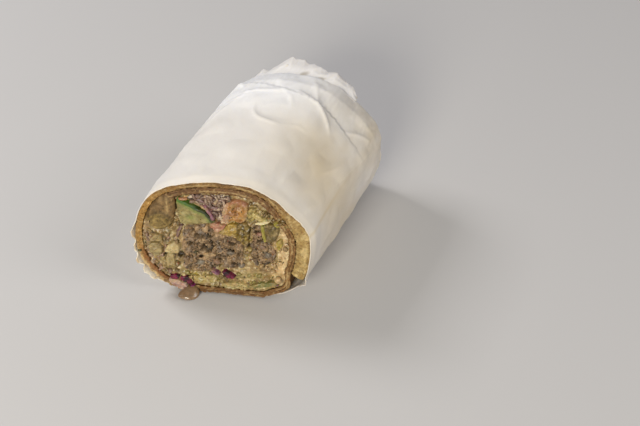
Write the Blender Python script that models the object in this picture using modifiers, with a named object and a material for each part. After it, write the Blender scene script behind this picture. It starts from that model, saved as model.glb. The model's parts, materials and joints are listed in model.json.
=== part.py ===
"""Half of a gyro wrap in its paper, lying on its side on a flat surface.

The cut end faces -Y, the closed end of the paper is at +Y, and the flat underside rests on z = 0.
Every piece is laid out on the cut face in millimetres, as a point (u, v): u runs to the right, v runs up.
place() carries such a point, and a depth behind the cut, into the wrap's own frame in metres.
"""

import math
import random

import bmesh
import bpy
from mathutils import Matrix, Vector

MM = 0.001

# The wrap as a whole, in millimetres and degrees
CUT_WIDTH = 74.0
CUT_HEIGHT = 57.0
UNDERSIDE = 2.0  # how much of the oval is pressed flat where it rests
OVAL_POWER = 2.2  # 2 is an ellipse, more is squarer
LENGTH = 90.0  # middle of the cut to the closed end
BIAS = 18.5  # the knife's angle across the wrap: its left side is the longer one
LEAN = 7.8  # the cut leans back, so that it faces up a little
END_SKEW = 6.0  # the closed end is not quite square to the wrap: its right side reaches further
SWELL = 0.02  # how much wider the far half is than the cut
SWELL_END = 0.7
END_TAPER = 0.05  # how much narrower the closed end is again
TAPER_START = 0.85
DRIFT = -3.5  # how far the closed end lies to the left of the cut
# Angle, spread and height: pushed out by the bread's thick tail, a flat shoulder above it, and the rolled lobe
BUMPS = ((-30.0, 16.0, 1.8), (42.0, 22.0, -2.4), (138.0, 20.0, 1.4))
STATIONS = (0.0, 30.0, 60.0, 80.0, LENGTH)  # depths at which the girth is worked out
SHIFT_X = 2.67  # centres the wrap on the origin
SHIFT_Y = -45.38

SHARP_ANGLE = 35.0  # edges sharper than this stay sharp in the shading
SHARPEST_CORNER = 0.45  # an outline's corners sharper than this are cut short when it grows

# Clearances and walls
GAP = 0.35
PAPER = 0.5
PAPER_SLACK = 0.6  # how far the paper stands off the bread
PAPER_POINTS = 48
PAPER_DEPTHS = (0.0, 7.0, 17.0, 30.0, 40.0, 50.0, 60.0, 67.0, 74.0, 80.0, 85.0, LENGTH)
CRUMPLE = 0.5  # height of the paper's broad waves
FLAT_BELOW = -0.55  # sine of the angle below which the paper lies flat on the surface
SEAM_DEPTH = 72.0  # the fold across the top, at the crown
SEAM_SWING = 11.0  # it runs back to the left and forward to the right by this much
SEAM_STEP = 0.6
SEAM_RISE = 20.0  # the step builds up over this length, which ends this far before the seam:
SEAM_REST = 4.0
END_OUT = 2.0  # the closed end's middle stands this far past its rim
END_SHARE = 0.93
# Flaps over the closed end: first and last angle along its rim, the tip's place, how far out they lie
END_FLAPS = (
    (118.0, 246.0, (13.0, 30.0), -0.3),
    (-70.0, 62.0, (-12.0, 27.0), 0.2),
    (205.0, 335.0, (2.0, 44.0), 0.7),
)
FLAP_THICKNESS = 0.8
# The loose ruffle that stands out past the crown of the closed end: angle along the rim, reach, lift
RUFFLE = ((152.0, 3.0, 1.2), (146.0, 5.5, 0.4), (140.0, 4.0, -0.6), (133.0, 7.0, 0.6), (126.0, 6.0, -0.8),
          (118.0, 8.5, 0.5), (112.0, 13.5, 1.2), (105.0, 13.5, 0.2), (97.0, 12.0, -0.8), (90.0, 9.5, 0.4),
          (82.0, 9.0, -0.7), (74.0, 7.5, 0.6), (66.0, 7.5, -0.6), (58.0, 5.5, 0.4), (50.0, 3.5, 0.3))

# The flatbread's spiral, by the angle along it
TAIL_ANGLE = -26.0  # its outer end
TUCK_START = 314.0  # it dips under its own tail between these angles
TUCK_END = 334.0
INNER_END_ANGLE = 493.0
TAIL_THICKNESS = 5.8
BREAD_THICKNESS = 2.4
INNER_THICKNESS = 2.2
LAYER_GAP = 0.7
TAIL_THINS_FROM = 12.0
TAIL_THINS_TO = 62.0
BREAD_STEP = 7.0
BREAD_END = LENGTH - 3.5
SLANT_ALLOWANCE = 0.95  # a slanting cut shows a layer a little thicker than it is

# The rolled lobe at the flatbread's inner end
LOBE_CENTRE = (-27.0, 38.8)
LOBE_RADII = (6.7, 8.6)
LOBE_LENGTH = 34.0
SLIT = 0.5
SLIT_ROUTE = [(-35.0, 38.6), (-32.2, 36.2), (-29.0, 35.6), (-26.0, 37.4), (-24.8, 40.6), (-25.4, 43.6)]

THROUGH = LENGTH - 9.0
# Masses of chopped meat: outline on the cut, number of crumbs that stand out of it
MEATS = {
    "meat_core": ([(-17, 33.5), (-12.5, 35), (-8, 35), (-5.5, 33.6), (-3, 32.2), (1.5, 31.6), (4, 30),
        (6.2, 28), (7.6, 25.5), (7.2, 22), (7.8, 18), (6.5, 15.2), (3.8, 14.8), (-1.5, 14.9),
        (-4.5, 13.2), (-8, 12.3), (-12, 11.4), (-15.5, 11.8), (-17.3, 14), (-16.8, 18), (-17.6, 22),
        (-17.8, 26), (-17.2, 30)], 46),
    "meat_side": ([(11.8, 37.6), (14.2, 37.8), (15.6, 35), (16, 31), (19, 28.4), (21.3, 26), (21.2, 22),
        (19.8, 18.5), (16.5, 17.3), (13, 18.8), (10.9, 21), (11.2, 25), (11.2, 28), (11.9, 32)], 18),
}
SHREDS_OUTLINE = [(-15.5, 48.8), (-10, 50), (-4, 50.4), (1.2, 50), (0.6, 48.2), (-0.9, 46), (-1, 42.5),
                  (-2.2, 39.8), (-3.9, 40.2), (-5.2, 43), (-7.4, 45.2), (-11, 46), (-14, 47.6)]
SHREDS_COUNT = 17
# Pieces of filling that show on the cut: outline, length behind it, how far it stands proud, material
CHUNKS = {
    "cucumber": ([(-19.1, 47.3), (-17.4, 46.6), (-12.3, 44), (-8.3, 42.2), (-5.5, 38.9), (-5.4, 37.4),
        (-10, 36.6), (-15, 36.5), (-18, 37.3), (-18.5, 41), (-19.2, 45)], 17, 0.7, "cucumber"),
    "tomato_1": ([(0.6, 46), (2.6, 48.4), (6, 49.2), (9.2, 47.4), (9.7, 44), (8.6, 40.4), (6.5, 39.4),
        (4, 40.1), (1.7, 39.2), (0.3, 41), (0.2, 43.5)], 13, 1.2, "tomato"),
    "tomato_2": ([(-4, 36.7), (-3.6, 35.2), (-1.4, 34.4), (0.3, 35.4), (0.1, 37), (-2, 37.5)],
        9, 0.9, "tomato"),
    "pickle_1": ([(1.7, 37.5), (4.2, 37.1), (4.7, 34.8), (4.1, 32.4), (1.9, 33.1), (1.5, 35.2)],
        10, 0.8, "pickle"),
    "pickle_2": ([(6, 37.2), (8.4, 38.2), (10.4, 36.2), (10.5, 32.5), (10.1, 28.8), (9.2, 28),
        (7.9, 29.8), (6, 32), (5.8, 35)], 14, 0.4, "pickle"),
    "pickle_3": ([(17.3, 38.4), (20.3, 39), (22.2, 38.3), (22.5, 35.5), (21.7, 31.9), (20.2, 30.5),
        (18.3, 31.3), (17.3, 34.5)], 16, 0.2, "pickle"),
    "pickle_4": ([(22.7, 30.8), (24.1, 31.2), (24.3, 28.6), (23.1, 27.2), (22.4, 28.8)],
        8, 0.6, "pickle"),
    "lettuce_1": ([(11, 41.2), (11.5, 44.4), (12.5, 46.2), (13.6, 45.8), (13.3, 43.4), (13, 41),
        (12.1, 39.8)], 19, 1.1, "lettuce"),
    "lettuce_2": ([(14.6, 44.8), (15.7, 44.8), (18.9, 41.8), (18.5, 40.8), (16, 41.9), (14.7, 43)],
        15, 1.4, "lettuce"),
    "lettuce_3": ([(-12, 8.9), (-6, 9.7), (-3.4, 8.5), (-5.6, 6.6), (-11.3, 6.4)], 22, 0.8, "lettuce"),
    "lettuce_4": ([(-1, 6.3), (4, 7.7), (9.4, 7.3), (9, 5.3), (3, 4.7)], 24, 0.4, "lettuce"),
    "lettuce_5": ([(12, 8.4), (16.2, 10.2), (21.2, 11.4), (21, 9.8), (16.6, 7.8), (12.6, 6.6)],
        18, 0.7, "lettuce"),
    "red_cabbage_1": ([(-23.1, 9.4), (-21.2, 10.4), (-20, 9.6), (-20, 7.6), (-22.2, 7.4)],
        9, 1.5, "red_cabbage"),
    "red_cabbage_2": ([(-18.8, 8.8), (-15.4, 9.6), (-13.8, 7.6), (-13.6, 5.4), (-15.2, 5), (-18, 6.2)],
        11, 2, "red_cabbage"),
    "red_cabbage_3": ([(-1, 13.3), (1, 13.6), (3.9, 12), (3, 10.2), (0.4, 11)], 10, 1.3, "red_cabbage"),
    "red_onion": ([(-20.4, 27.4), (-19.4, 28.4), (-18.6, 32.6), (-18.4, 34.6), (-19.4, 34.2),
        (-20.2, 31)], 12, 0.6, "red_cabbage"),
    "dice_1": ([(-31.3, 23.5), (-28, 24.3), (-26.5, 22.4), (-27, 18.6), (-29.5, 17.6), (-31.3, 19.4)],
        8, 0.7, "dice"),
    "dice_2": ([(-23.9, 24.4), (-20.2, 24.8), (-19.3, 22.4), (-21, 21.1), (-24, 21.4)], 7, 1.4, "dice"),
    "dice_3": ([(-23.7, 19.5), (-20.5, 19.5), (-19.5, 17.4), (-20.6, 15.4), (-23.5, 15.8)],
        7, 0.6, "dice"),
    "dice_4": ([(-28.9, 28.8), (-25.6, 29), (-25.5, 26.8), (-28.7, 26.4)], 6, 0.5, "dice"),
}
LUMP_COUNT = 36
CHUNK_ROUNDING = 0.4
# Sauce that ran out at the cut, its neck and its foot: centre (u, v, depth), radii across, along, up
DRIP = (((-13.6, 2.7, -1.9), (3.2, 1.4, 1.9)), ((-12.6, 1.94, -4.3), (4.6, 3.4, 1.85)))

# Colour, roughness of each material
FINISHES = {
    "paper": ((0.86, 0.83, 0.79), 0.6),
    "flatbread": ((0.62, 0.45, 0.22), 0.85),
    "sauce": ((0.55, 0.44, 0.27), 0.45),
    "meat": ((0.27, 0.19, 0.12), 0.7),
    "meat_shreds": ((0.47, 0.33, 0.27), 0.6),
    "cucumber": ((0.45, 0.52, 0.22), 0.35),
    "tomato": ((0.62, 0.33, 0.18), 0.35),
    "pickle": ((0.33, 0.3, 0.08), 0.4),
    "lettuce": ((0.55, 0.56, 0.3), 0.5),
    "red_cabbage": ((0.3, 0.02, 0.16), 0.4),
    "dice": ((0.58, 0.55, 0.32), 0.4),
}


def smooth(x):
    """0 below 0, 1 above 1, and an even curve between."""
    x = min(max(x, 0.0), 1.0)
    return x * x * (3 - 2 * x)


def girth_at(back):
    """How wide the wrap is at this share of its length, compared with its cut."""
    swell = SWELL * math.sin(math.pi / 2 * min(back / SWELL_END, 1.0))
    taper = END_TAPER * smooth((back - TAPER_START) / (1 - TAPER_START))
    return 1 + swell - taper


def girth(depth):
    """The girth at this depth, straight between the stations so that neighbouring pieces stay parallel."""
    for near, far in zip(STATIONS, STATIONS[1:]):
        if depth < far or far == STATIONS[-1]:
            share = min(max((depth - near) / (far - near), 0.0), 1.0)
            return girth_at(near / LENGTH) * (1 - share) + girth_at(far / LENGTH) * share


def depths(front, back):
    """The front, the stations between and the back."""
    return [front] + [d for d in STATIONS if front + 0.5 < d < back - 0.5] + [back]


def place(u, v, depth):
    """A point of the cut face, and how far it lies behind it, as a point of the wrap's frame."""
    back = min(max(depth / LENGTH, 0.0), 1.0)
    wide = girth(depth)
    bias, lean = math.radians(BIAS), math.radians(LEAN)
    slant = (u * math.sin(bias) + v * math.sin(lean)) * (1 - back)
    slant += u * math.tan(math.radians(END_SKEW)) * back
    x = SHIFT_X + u * math.cos(bias) * wide + DRIFT * back
    z = v * math.cos(lean) * wide
    return Vector((x, SHIFT_Y + slant + depth, z)) * MM


def oval(degrees, inset=0.0):
    """A point of the flatbread's outer edge on the cut, moved in by inset. The underside is pressed flat."""
    t = math.radians(degrees)
    power = 2 / OVAL_POWER
    across = math.copysign(abs(math.cos(t)) ** power, math.cos(t))
    up = math.copysign(abs(math.sin(t)) ** power, math.sin(t))
    bulge = 0.0
    for angle, spread, height in BUMPS:
        off = (degrees - angle + 180) % 360 - 180
        bulge += height * math.exp(-((off / spread) ** 2))
    half_height = (CUT_HEIGHT + UNDERSIDE) / 2
    u = -1.0 + (CUT_WIDTH / 2 - inset + bulge) * across
    v = CUT_HEIGHT - half_height + (half_height - inset + bulge) * up
    return u, max(v, inset + PAPER + GAP)


def closed_curve(points, steps=2):
    """The corner points of an outline with smooth points between them, as a Catmull-Rom curve."""
    found = []
    count = len(points)
    for i in range(count):
        p0, p1, p2, p3 = (Vector(points[(i + k) % count]) for k in (-1, 0, 1, 2))
        for k in range(steps):
            t = k / steps
            found.append(tuple(0.5 * (2 * p1 + (p2 - p0) * t + (2 * p0 - 5 * p1 + 4 * p2 - p3) * t * t
                                      + (3 * p1 - p0 - 3 * p2 + p3) * t ** 3)))
    return found


def smoothed(outline):
    """A large piece's outline as a curve; a small piece keeps its few corners."""
    return closed_curve(outline) if len(outline) > 7 else outline


def grown(outline, by):
    """The outline with every edge moved out by this much. Very sharp corners are cut a little short."""
    area = sum(a[0] * b[1] - a[1] * b[0] for a, b in zip(outline, outline[1:] + outline[:1]))
    side = 1 if area > 0 else -1
    found = []
    for before, here, after in zip(outline[-1:] + outline[:-1], outline, outline[1:] + outline[:1]):
        ahead = (Vector(after) - Vector(here)).normalized()
        behind = (Vector(here) - Vector(before)).normalized()
        out = Vector((ahead.y + behind.y, -ahead.x - behind.x)).normalized() * side
        spread = max(out.dot(Vector((ahead.y, -ahead.x)) * side), SHARPEST_CORNER)
        found.append(tuple(Vector(here) + out * by / spread))
    return found


def inside(point, outline):
    """Whether the point lies inside the outline."""
    odd = False
    for (x0, y0), (x1, y1) in zip(outline, outline[1:] + outline[:1]):
        if (y0 > point[1]) != (y1 > point[1]) and point[0] < (x1 - x0) * (point[1] - y0) / (y1 - y0) + x0:
            odd = not odd
    return odd


def scattered(outline, count, spacing, rng):
    """Up to count points inside the outline, no two nearer than spacing."""
    low_u, high_u = min(p[0] for p in outline), max(p[0] for p in outline)
    low_v, high_v = min(p[1] for p in outline), max(p[1] for p in outline)
    found = []
    for _ in range(count * 40):
        point = (rng.uniform(low_u, high_u), rng.uniform(low_v, high_v))
        clear = all(math.dist(point, other) > spacing for other in found)
        if clear and inside(point, outline):
            found.append(point)
        if len(found) == count:
            break
    return found


def finish(name):
    """The material of that name, made once."""
    found = bpy.data.materials.get(name)
    if found:
        return found
    colour, roughness = FINISHES[name]
    made = bpy.data.materials.new(name)
    made.use_nodes = True
    made.diffuse_color = (*colour, 1)
    shader = made.node_tree.nodes["Principled BSDF"]
    shader.inputs["Base Color"].default_value = (*colour, 1)
    shader.inputs["Roughness"].default_value = roughness
    return made


def add_object(name, bm, collection, material=None):
    """Turns a bmesh into a named object with outward normals."""
    bmesh.ops.recalc_face_normals(bm, faces=bm.faces)
    mesh = bpy.data.meshes.new(name)
    bm.to_mesh(mesh)
    bm.free()
    made = bpy.data.objects.new(name, mesh)
    collection.objects.link(made)
    if material:
        mesh.materials.append(finish(material))
    return made


def bar(name, outline, front, back, collection, material=None, rounding=0.0):
    """A closed bar that has this outline on the cut and follows the wrap from depth front to depth back."""
    bm = bmesh.new()
    rings = []
    if rounding:
        rings.append([bm.verts.new(place(u, v, front)) for u, v in grown(outline, -rounding)])
        front += rounding
    for depth in depths(front, back):
        rings.append([bm.verts.new(place(u, v, depth)) for u, v in outline])
    for near, far in zip(rings, rings[1:]):
        for i in range(len(outline)):
            j = (i + 1) % len(outline)
            bm.faces.new((near[i], near[j], far[j], far[i]))
    bm.faces.new(rings[0])
    bm.faces.new(rings[-1])
    return add_object(name, bm, collection, material)


def ribbon(name, route, front, back, thickness, collection, material=None):
    """A sheet that follows a route on the cut. The route's points are (u, v, share of the full thickness)."""
    bm = bmesh.new()
    rows = []
    for depth in depths(front, back):
        rows.append([bm.verts.new(place(u, v, depth)) for u, v, _ in route])
    for near, far in zip(rows, rows[1:]):
        for i in range(len(route) - 1):
            bm.faces.new((near[i], near[i + 1], far[i + 1], far[i]))
    made = add_object(name, bm, collection, material)
    group = made.vertex_groups.new(name="thickness")
    for row in range(len(rows)):
        for i, (_, _, share) in enumerate(route):
            group.add([row * len(route) + i], share, "REPLACE")
    thicken(made, thickness, group.name)
    return made


def thicken(obj, thickness, group=""):
    """Gives a sheet its thickness, half to each side, in proportion to a vertex group if there is one."""
    solidify = obj.modifiers.new("Solidify", "SOLIDIFY")
    solidify.thickness = thickness * MM
    solidify.offset = 0
    solidify.use_even_offset = True
    solidify.vertex_group = group
    apply_modifiers(obj)


def lump(name, centre, radii, turn, collection, detail=1):
    """A rough round lump in the wrap's frame."""
    bm = bmesh.new()
    matrix = Matrix.Translation(centre) @ turn.to_4x4() @ Matrix.Diagonal((*radii, 1))
    bmesh.ops.create_icosphere(bm, subdivisions=detail, radius=MM, matrix=matrix)
    return add_object(name, bm, collection)


def apply_modifiers(obj):
    """Replaces the object's mesh by what its modifiers make of it."""
    graph = bpy.context.evaluated_depsgraph_get()
    mesh = bpy.data.meshes.new_from_object(obj.evaluated_get(graph))
    obj.modifiers.clear()
    old = obj.data
    obj.data = mesh
    bpy.data.meshes.remove(old)


def drop_scraps(obj):
    """Keeps the largest piece of the mesh: slivers that were cut loose go, and sealed hollows are filled."""
    bm = bmesh.new()
    bm.from_mesh(obj.data)
    left = set(bm.verts)
    pieces = []
    while left:
        edge = [left.pop()]
        piece = []
        while edge:
            here = edge.pop()
            piece.append(here)
            for link in here.link_edges:
                there = link.other_vert(here)
                if there in left:
                    left.remove(there)
                    edge.append(there)
        pieces.append(piece)
    pieces.sort(key=len)
    bmesh.ops.delete(bm, geom=[v for piece in pieces[:-1] for v in piece], context="VERTS")
    bm.to_mesh(obj.data)
    bm.free()


def combine(obj, others, operation):
    """One Boolean of the object with every object of the collection, which is then removed."""
    boolean = obj.modifiers.new("Boolean", "BOOLEAN")
    boolean.operation = operation
    boolean.operand_type = "COLLECTION"
    boolean.collection = others
    boolean.solver = "EXACT"
    apply_modifiers(obj)
    for other in list(others.objects):
        bpy.data.objects.remove(other)
    bpy.data.collections.remove(others)
    drop_scraps(obj)


def new_collection(name, parent=None):
    made = bpy.data.collections.new(name)
    (parent or bpy.context.scene.collection).children.link(made)
    return made


def random_turn(rng):
    """A random rotation as a 3x3 matrix."""
    axis = Vector((rng.uniform(-1, 1), rng.uniform(-1, 1), rng.uniform(-1, 1))).normalized()
    return Matrix.Rotation(rng.uniform(0, math.tau), 3, axis)


def bread_layer(degrees):
    """How far in the middle of the flatbread lies at this angle along its spiral, and how thick it is."""
    outer = BREAD_THICKNESS + (TAIL_THICKNESS - BREAD_THICKNESS) * (
        1 - smooth((degrees % 360 - TAIL_THINS_FROM) / (TAIL_THINS_TO - TAIL_THINS_FROM)))
    if degrees < 0 or degrees % 360 > 360 + TAIL_ANGLE:
        outer = TAIL_THICKNESS
    if degrees < TUCK_START:
        return outer / 2, outer
    inner = outer + LAYER_GAP + INNER_THICKNESS / 2
    if degrees < 360 + TAIL_ANGLE:
        inner = TAIL_THICKNESS + LAYER_GAP + INNER_THICKNESS / 2
    tucked = smooth((degrees - TUCK_START) / (TUCK_END - TUCK_START))
    middle = BREAD_THICKNESS / 2 * (1 - tucked) + inner * tucked
    return middle, BREAD_THICKNESS + (INNER_THICKNESS - BREAD_THICKNESS) * tucked


def filling_edge(degrees):
    """A point of the filling's outline: just inside the innermost layer of flatbread at this angle."""
    degrees %= 360
    on_path = degrees + 360 if degrees + 360 <= INNER_END_ANGLE + BREAD_STEP else degrees
    middle, thick = bread_layer(on_path)
    return oval(degrees, middle + thick / 2 + GAP)


def make_flatbread(parts):
    """One sheet of flatbread: a spiral of nearly one and a half turns that ends in a rolled lobe."""
    count = round((INNER_END_ANGLE - TAIL_ANGLE) / BREAD_STEP)
    route = []
    for i in range(count + 1):
        degrees = TAIL_ANGLE + (INNER_END_ANGLE - TAIL_ANGLE) * i / count
        middle, thick = bread_layer(degrees)
        route.append((*oval(degrees, middle), thick / TAIL_THICKNESS))
    bread = ribbon("flatbread", route, 0, BREAD_END, TAIL_THICKNESS * SLANT_ALLOWANCE, parts, "flatbread")
    lobe_outline = [(LOBE_CENTRE[0] + LOBE_RADII[0] * math.cos(math.tau * i / 18),
                     LOBE_CENTRE[1] + LOBE_RADII[1] * math.sin(math.tau * i / 18)) for i in range(18)]
    lobes = new_collection("lobe")
    bar("lobe", lobe_outline, 0, LOBE_LENGTH, lobes)
    combine(bread, lobes, "UNION")
    slits = new_collection("slit")
    ribbon("slit", [(u, v, 1.0) for u, v in SLIT_ROUTE], -2, LOBE_LENGTH * 0.6, SLIT, slits)
    combine(bread, slits, "DIFFERENCE")
    return lobe_outline


def make_meat(name, outline, count, rng, parts):
    """A packed mass of chopped meat that runs through the wrap, with crumbs standing out of the cut."""
    curve = closed_curve(outline)
    core = bar(name, curve, 0.6, THROUGH, parts, "meat")
    crumbs = new_collection(name + "_crumbs")
    for i, (u, v) in enumerate(scattered(grown(curve, -1.7), count, 1.9, rng)):
        size = rng.uniform(1.1, 1.75)
        radii = (size * rng.uniform(0.8, 1.15), size * rng.uniform(0.7, 1.0), size * rng.uniform(0.7, 1.1))
        lump(f"{name}_crumb_{i}", place(u, v, rng.uniform(0.1, 0.9)), radii, random_turn(rng), crumbs)
    combine(core, crumbs, "UNION")


def make_shreds(rng, parts):
    """Pulled meat under the flatbread: a core that runs through, with short shreds lying over its cut."""
    curve = closed_curve(SHREDS_OUTLINE)
    core = bar("meat_shreds", curve, 0.8, THROUGH, parts, "meat_shreds")
    shreds = new_collection("shreds")
    for i, (u, v) in enumerate(scattered(grown(curve, -1.5), SHREDS_COUNT, 1.7, rng)):
        radii = (rng.uniform(1.3, 2.0), rng.uniform(0.7, 1.0), rng.uniform(0.6, 0.85))
        turn = Matrix.Rotation(rng.uniform(-1.2, 1.2), 3, "Y")
        lump(f"shred_{i}", place(u, v, rng.uniform(0.2, 0.8)), radii, turn, shreds)
    combine(core, shreds, "UNION")


def make_drip(parts):
    """Sauce that has run out of the filling, over the rim and onto the surface in front."""
    drops = new_collection("drops")
    along_cut = Matrix.Rotation(math.radians(BIAS), 3, "Z") @ Matrix.Rotation(math.radians(-LEAN), 3, "X")
    for i, (centre, radii) in enumerate(DRIP):
        lump(f"drop_{i}", place(*centre), radii, along_cut, drops, 2)
    drip = drops.objects["drop_0"]
    drops.objects.unlink(drip)
    parts.objects.link(drip)
    drip.name = "sauce_drip"
    drip.data.materials.append(finish("sauce"))
    combine(drip, drops, "UNION")


def make_filling(rng, lobe_outline, parts):
    """Sauce and chopped salad round all the other pieces: lumps on the cut, and a pocket for each piece."""
    outline = [filling_edge(i * 7.5) for i in range(48)]
    core = bar("filling", outline, 0.9, THROUGH + 2, parts, "sauce")
    lumps = new_collection("lumps")
    for i, (u, v) in enumerate(scattered(grown(outline, -2.6), LUMP_COUNT, 3.4, rng)):
        size = rng.uniform(1.6, 2.5)
        radii = (size * rng.uniform(0.8, 1.2), size * rng.uniform(0.6, 0.9), size * rng.uniform(0.7, 1.1))
        lump(f"lump_{i}", place(u, v, rng.uniform(0.6, 1.4)), radii, random_turn(rng), lumps)
    combine(core, lumps, "UNION")
    pockets = new_collection("pockets")
    through = {name: outline for name, (outline, _) in MEATS.items()} | {"meat_shreds": SHREDS_OUTLINE}
    for name, piece in through.items():
        bar(name + "_pocket", grown(closed_curve(piece), GAP), -8, THROUGH + 2 * GAP, pockets)
    for name, (piece, length, _, _) in CHUNKS.items():
        bar(name + "_pocket", grown(smoothed(piece), GAP), -8, length + GAP, pockets)
    bar("lobe_pocket", grown(lobe_outline, GAP), -8, LOBE_LENGTH + GAP, pockets)
    combine(core, pockets, "DIFFERENCE")


def crumple(degrees, depth):
    """How far the paper stands off the bread at this place, apart from its slack."""
    t = math.radians(degrees)
    if math.sin(t) < FLAT_BELOW:
        return 0.0
    waves = math.sin(7 * t + depth * 0.11) + math.sin(11 * t - depth * 0.23 + 1.0)
    waves += math.sin(4 * t + depth * 0.3)
    seam = SEAM_DEPTH - SEAM_SWING * math.cos(t)
    step = SEAM_STEP * smooth((depth - seam + SEAM_RISE + SEAM_REST) / SEAM_RISE) if depth < seam else 0.0
    return CRUMPLE * max(waves, 0.0) / 3 + step * smooth(math.sin(t))


def paper_point(degrees, depth, share=1.0):
    """A point of the paper's middle surface, or of its closed end where share is below 1."""
    u, v = oval(degrees, -PAPER_SLACK - PAPER / 2 - crumple(degrees, depth))
    v = max(v, PAPER / 2)
    hub_v = CUT_HEIGHT / 2
    return u * share, hub_v + (v - hub_v) * share


def make_end_flaps(collection):
    """The flaps that close the far end, folded one over the other."""
    for i, (first, last, tip, out) in enumerate(END_FLAPS):
        rim = [paper_point(first + (last - first) * k / 8, LENGTH, END_SHARE - 0.02) for k in range(9)]
        front = LENGTH + END_OUT + out
        bar(f"end_flap_{i}", rim + [tip], front, front + FLAP_THICKNESS, collection)


def make_ruffle(collection):
    """The paper's loose edge, which stands out past the crown of the closed end in waves."""
    bm = bmesh.new()
    rows = []
    for k, (along, wave) in enumerate(((-0.12, 0.0), (0.0, 0.0), (0.5, 0.6), (1.0, 1.0))):
        row = []
        for degrees, reach, lift in RUFFLE:
            u, v = paper_point(degrees, LENGTH)
            point = place(u, v, LENGTH) + Vector((0, reach * along, lift * wave)) * MM
            row.append(bm.verts.new(point))
        rows.append(row)
    for near, far in zip(rows, rows[1:]):
        for i in range(len(RUFFLE) - 1):
            bm.faces.new((near[i], near[i + 1], far[i + 1], far[i]))
    thicken(add_object("ruffle", bm, collection), PAPER * 0.8)


def make_paper(parts):
    """The paper: a sleeve open at the cut, folded shut at the far end, with a loose ruffle there."""
    bm = bmesh.new()
    angles = [360 * i / PAPER_POINTS for i in range(PAPER_POINTS)]
    rings = []
    for depth in PAPER_DEPTHS:
        rings.append([bm.verts.new(place(*paper_point(a, depth), depth)) for a in angles])
    closed = [place(*paper_point(a, LENGTH, END_SHARE), LENGTH + END_OUT) for a in angles]
    rings.append([bm.verts.new(point) for point in closed])
    for near, far in zip(rings, rings[1:]):
        for i in range(PAPER_POINTS):
            j = (i + 1) % PAPER_POINTS
            bm.faces.new((near[i], near[j], far[j], far[i]))
    bm.faces.new(rings[-1])
    paper = add_object("paper", bm, parts, "paper")
    thicken(paper, PAPER)
    folds = new_collection("folds")
    make_end_flaps(folds)
    make_ruffle(folds)
    combine(paper, folds, "UNION")
    for vertex in paper.data.vertices:
        vertex.co.z = max(vertex.co.z, 0.0)


def shade(obj):
    """Smooth shading, except across edges that are truly sharp."""
    obj.data.shade_smooth()
    obj.data.set_sharp_from_angle(angle=math.radians(SHARP_ANGLE))


def main():
    for obj in list(bpy.data.objects):
        bpy.data.objects.remove(obj)
    parts = new_collection("gyro_wrap_half")
    rng = random.Random(7)
    lobe_outline = make_flatbread(parts)
    for name, (outline, count) in MEATS.items():
        make_meat(name, outline, count, rng, parts)
    make_shreds(rng, parts)
    for name, (outline, length, proud, material) in CHUNKS.items():
        bar(name, smoothed(outline), -proud, length, parts, material, CHUNK_ROUNDING)
    make_filling(rng, lobe_outline, parts)
    make_drip(parts)
    make_paper(parts)
    for obj in parts.objects:
        shade(obj)


main()
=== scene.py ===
"""The looks of the gyro wrap half: paper, flatbread, filling, floor, light and camera.

Pieces are laid out on the cut face in millimetres, as (u, v) with u to the right and v up, plus a depth
behind the cut. place() carries such a point into the wrap's own frame in metres.
"""

import json
import math
import random

import bmesh
import bpy
import numpy as np
from mathutils import Matrix, Vector, noise
from mathutils.bvhtree import BVHTree

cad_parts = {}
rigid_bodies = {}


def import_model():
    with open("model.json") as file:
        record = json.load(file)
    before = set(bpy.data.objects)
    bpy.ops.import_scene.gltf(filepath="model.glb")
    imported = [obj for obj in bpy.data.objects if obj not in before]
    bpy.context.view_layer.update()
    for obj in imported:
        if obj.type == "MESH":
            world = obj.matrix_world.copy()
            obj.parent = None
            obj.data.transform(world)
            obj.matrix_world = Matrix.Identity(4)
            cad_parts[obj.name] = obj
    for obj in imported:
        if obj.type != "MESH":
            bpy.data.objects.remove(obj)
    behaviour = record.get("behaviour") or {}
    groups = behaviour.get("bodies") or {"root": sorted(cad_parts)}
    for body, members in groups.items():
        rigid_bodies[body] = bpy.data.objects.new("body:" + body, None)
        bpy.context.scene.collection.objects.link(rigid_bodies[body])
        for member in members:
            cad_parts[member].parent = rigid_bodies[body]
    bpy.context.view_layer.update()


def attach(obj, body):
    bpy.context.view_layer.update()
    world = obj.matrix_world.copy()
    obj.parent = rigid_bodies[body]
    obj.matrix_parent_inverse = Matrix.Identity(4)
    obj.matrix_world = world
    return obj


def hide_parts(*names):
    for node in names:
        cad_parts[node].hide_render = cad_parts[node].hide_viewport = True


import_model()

MM = 0.001

# The wrap's shape, as in the part's source, in millimetres and degrees
CUT_WIDTH = 74.0
CUT_HEIGHT = 57.0
UNDERSIDE = 2.0
OVAL_POWER = 2.2
OVAL_CENTRE_U = -1.0
LENGTH = 90.0
BIAS = 18.5
LEAN = 7.8
END_SKEW = 6.0
SWELL = 0.02
SWELL_END = 0.7
END_TAPER = 0.05
TAPER_START = 0.85
DRIFT = -3.5
BUMPS = ((-30.0, 16.0, 1.8), (42.0, 22.0, -2.4), (138.0, 20.0, 1.4))
STATIONS = (0.0, 30.0, 60.0, 80.0, LENGTH)
SHIFT_X = 2.67
SHIFT_Y = -45.38
GAP = 0.35
PAPER = 0.5
PAPER_SLACK = 0.6
TAIL_ANGLE = -26.0
TUCK_START = 314.0
TUCK_END = 334.0
INNER_END_ANGLE = 493.0
TAIL_THICKNESS = 5.8
BREAD_THICKNESS = 2.4
INNER_THICKNESS = 2.2
LAYER_GAP = 0.7
TAIL_THINS_FROM = 12.0
TAIL_THINS_TO = 62.0
BREAD_END = LENGTH - 3.5
CRUMPLE = 0.5
SEAM_DEPTH = 72.0
SEAM_SWING = 11.0
SEAM_STEP = 0.6
END_OUT = 2.0
FILLING_CENTRE = (OVAL_CENTRE_U, 28.0)
THROUGH = LENGTH - 7.0  # the sauce runs back to here
MEAT_BACK = THROUGH - 2.0

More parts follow.
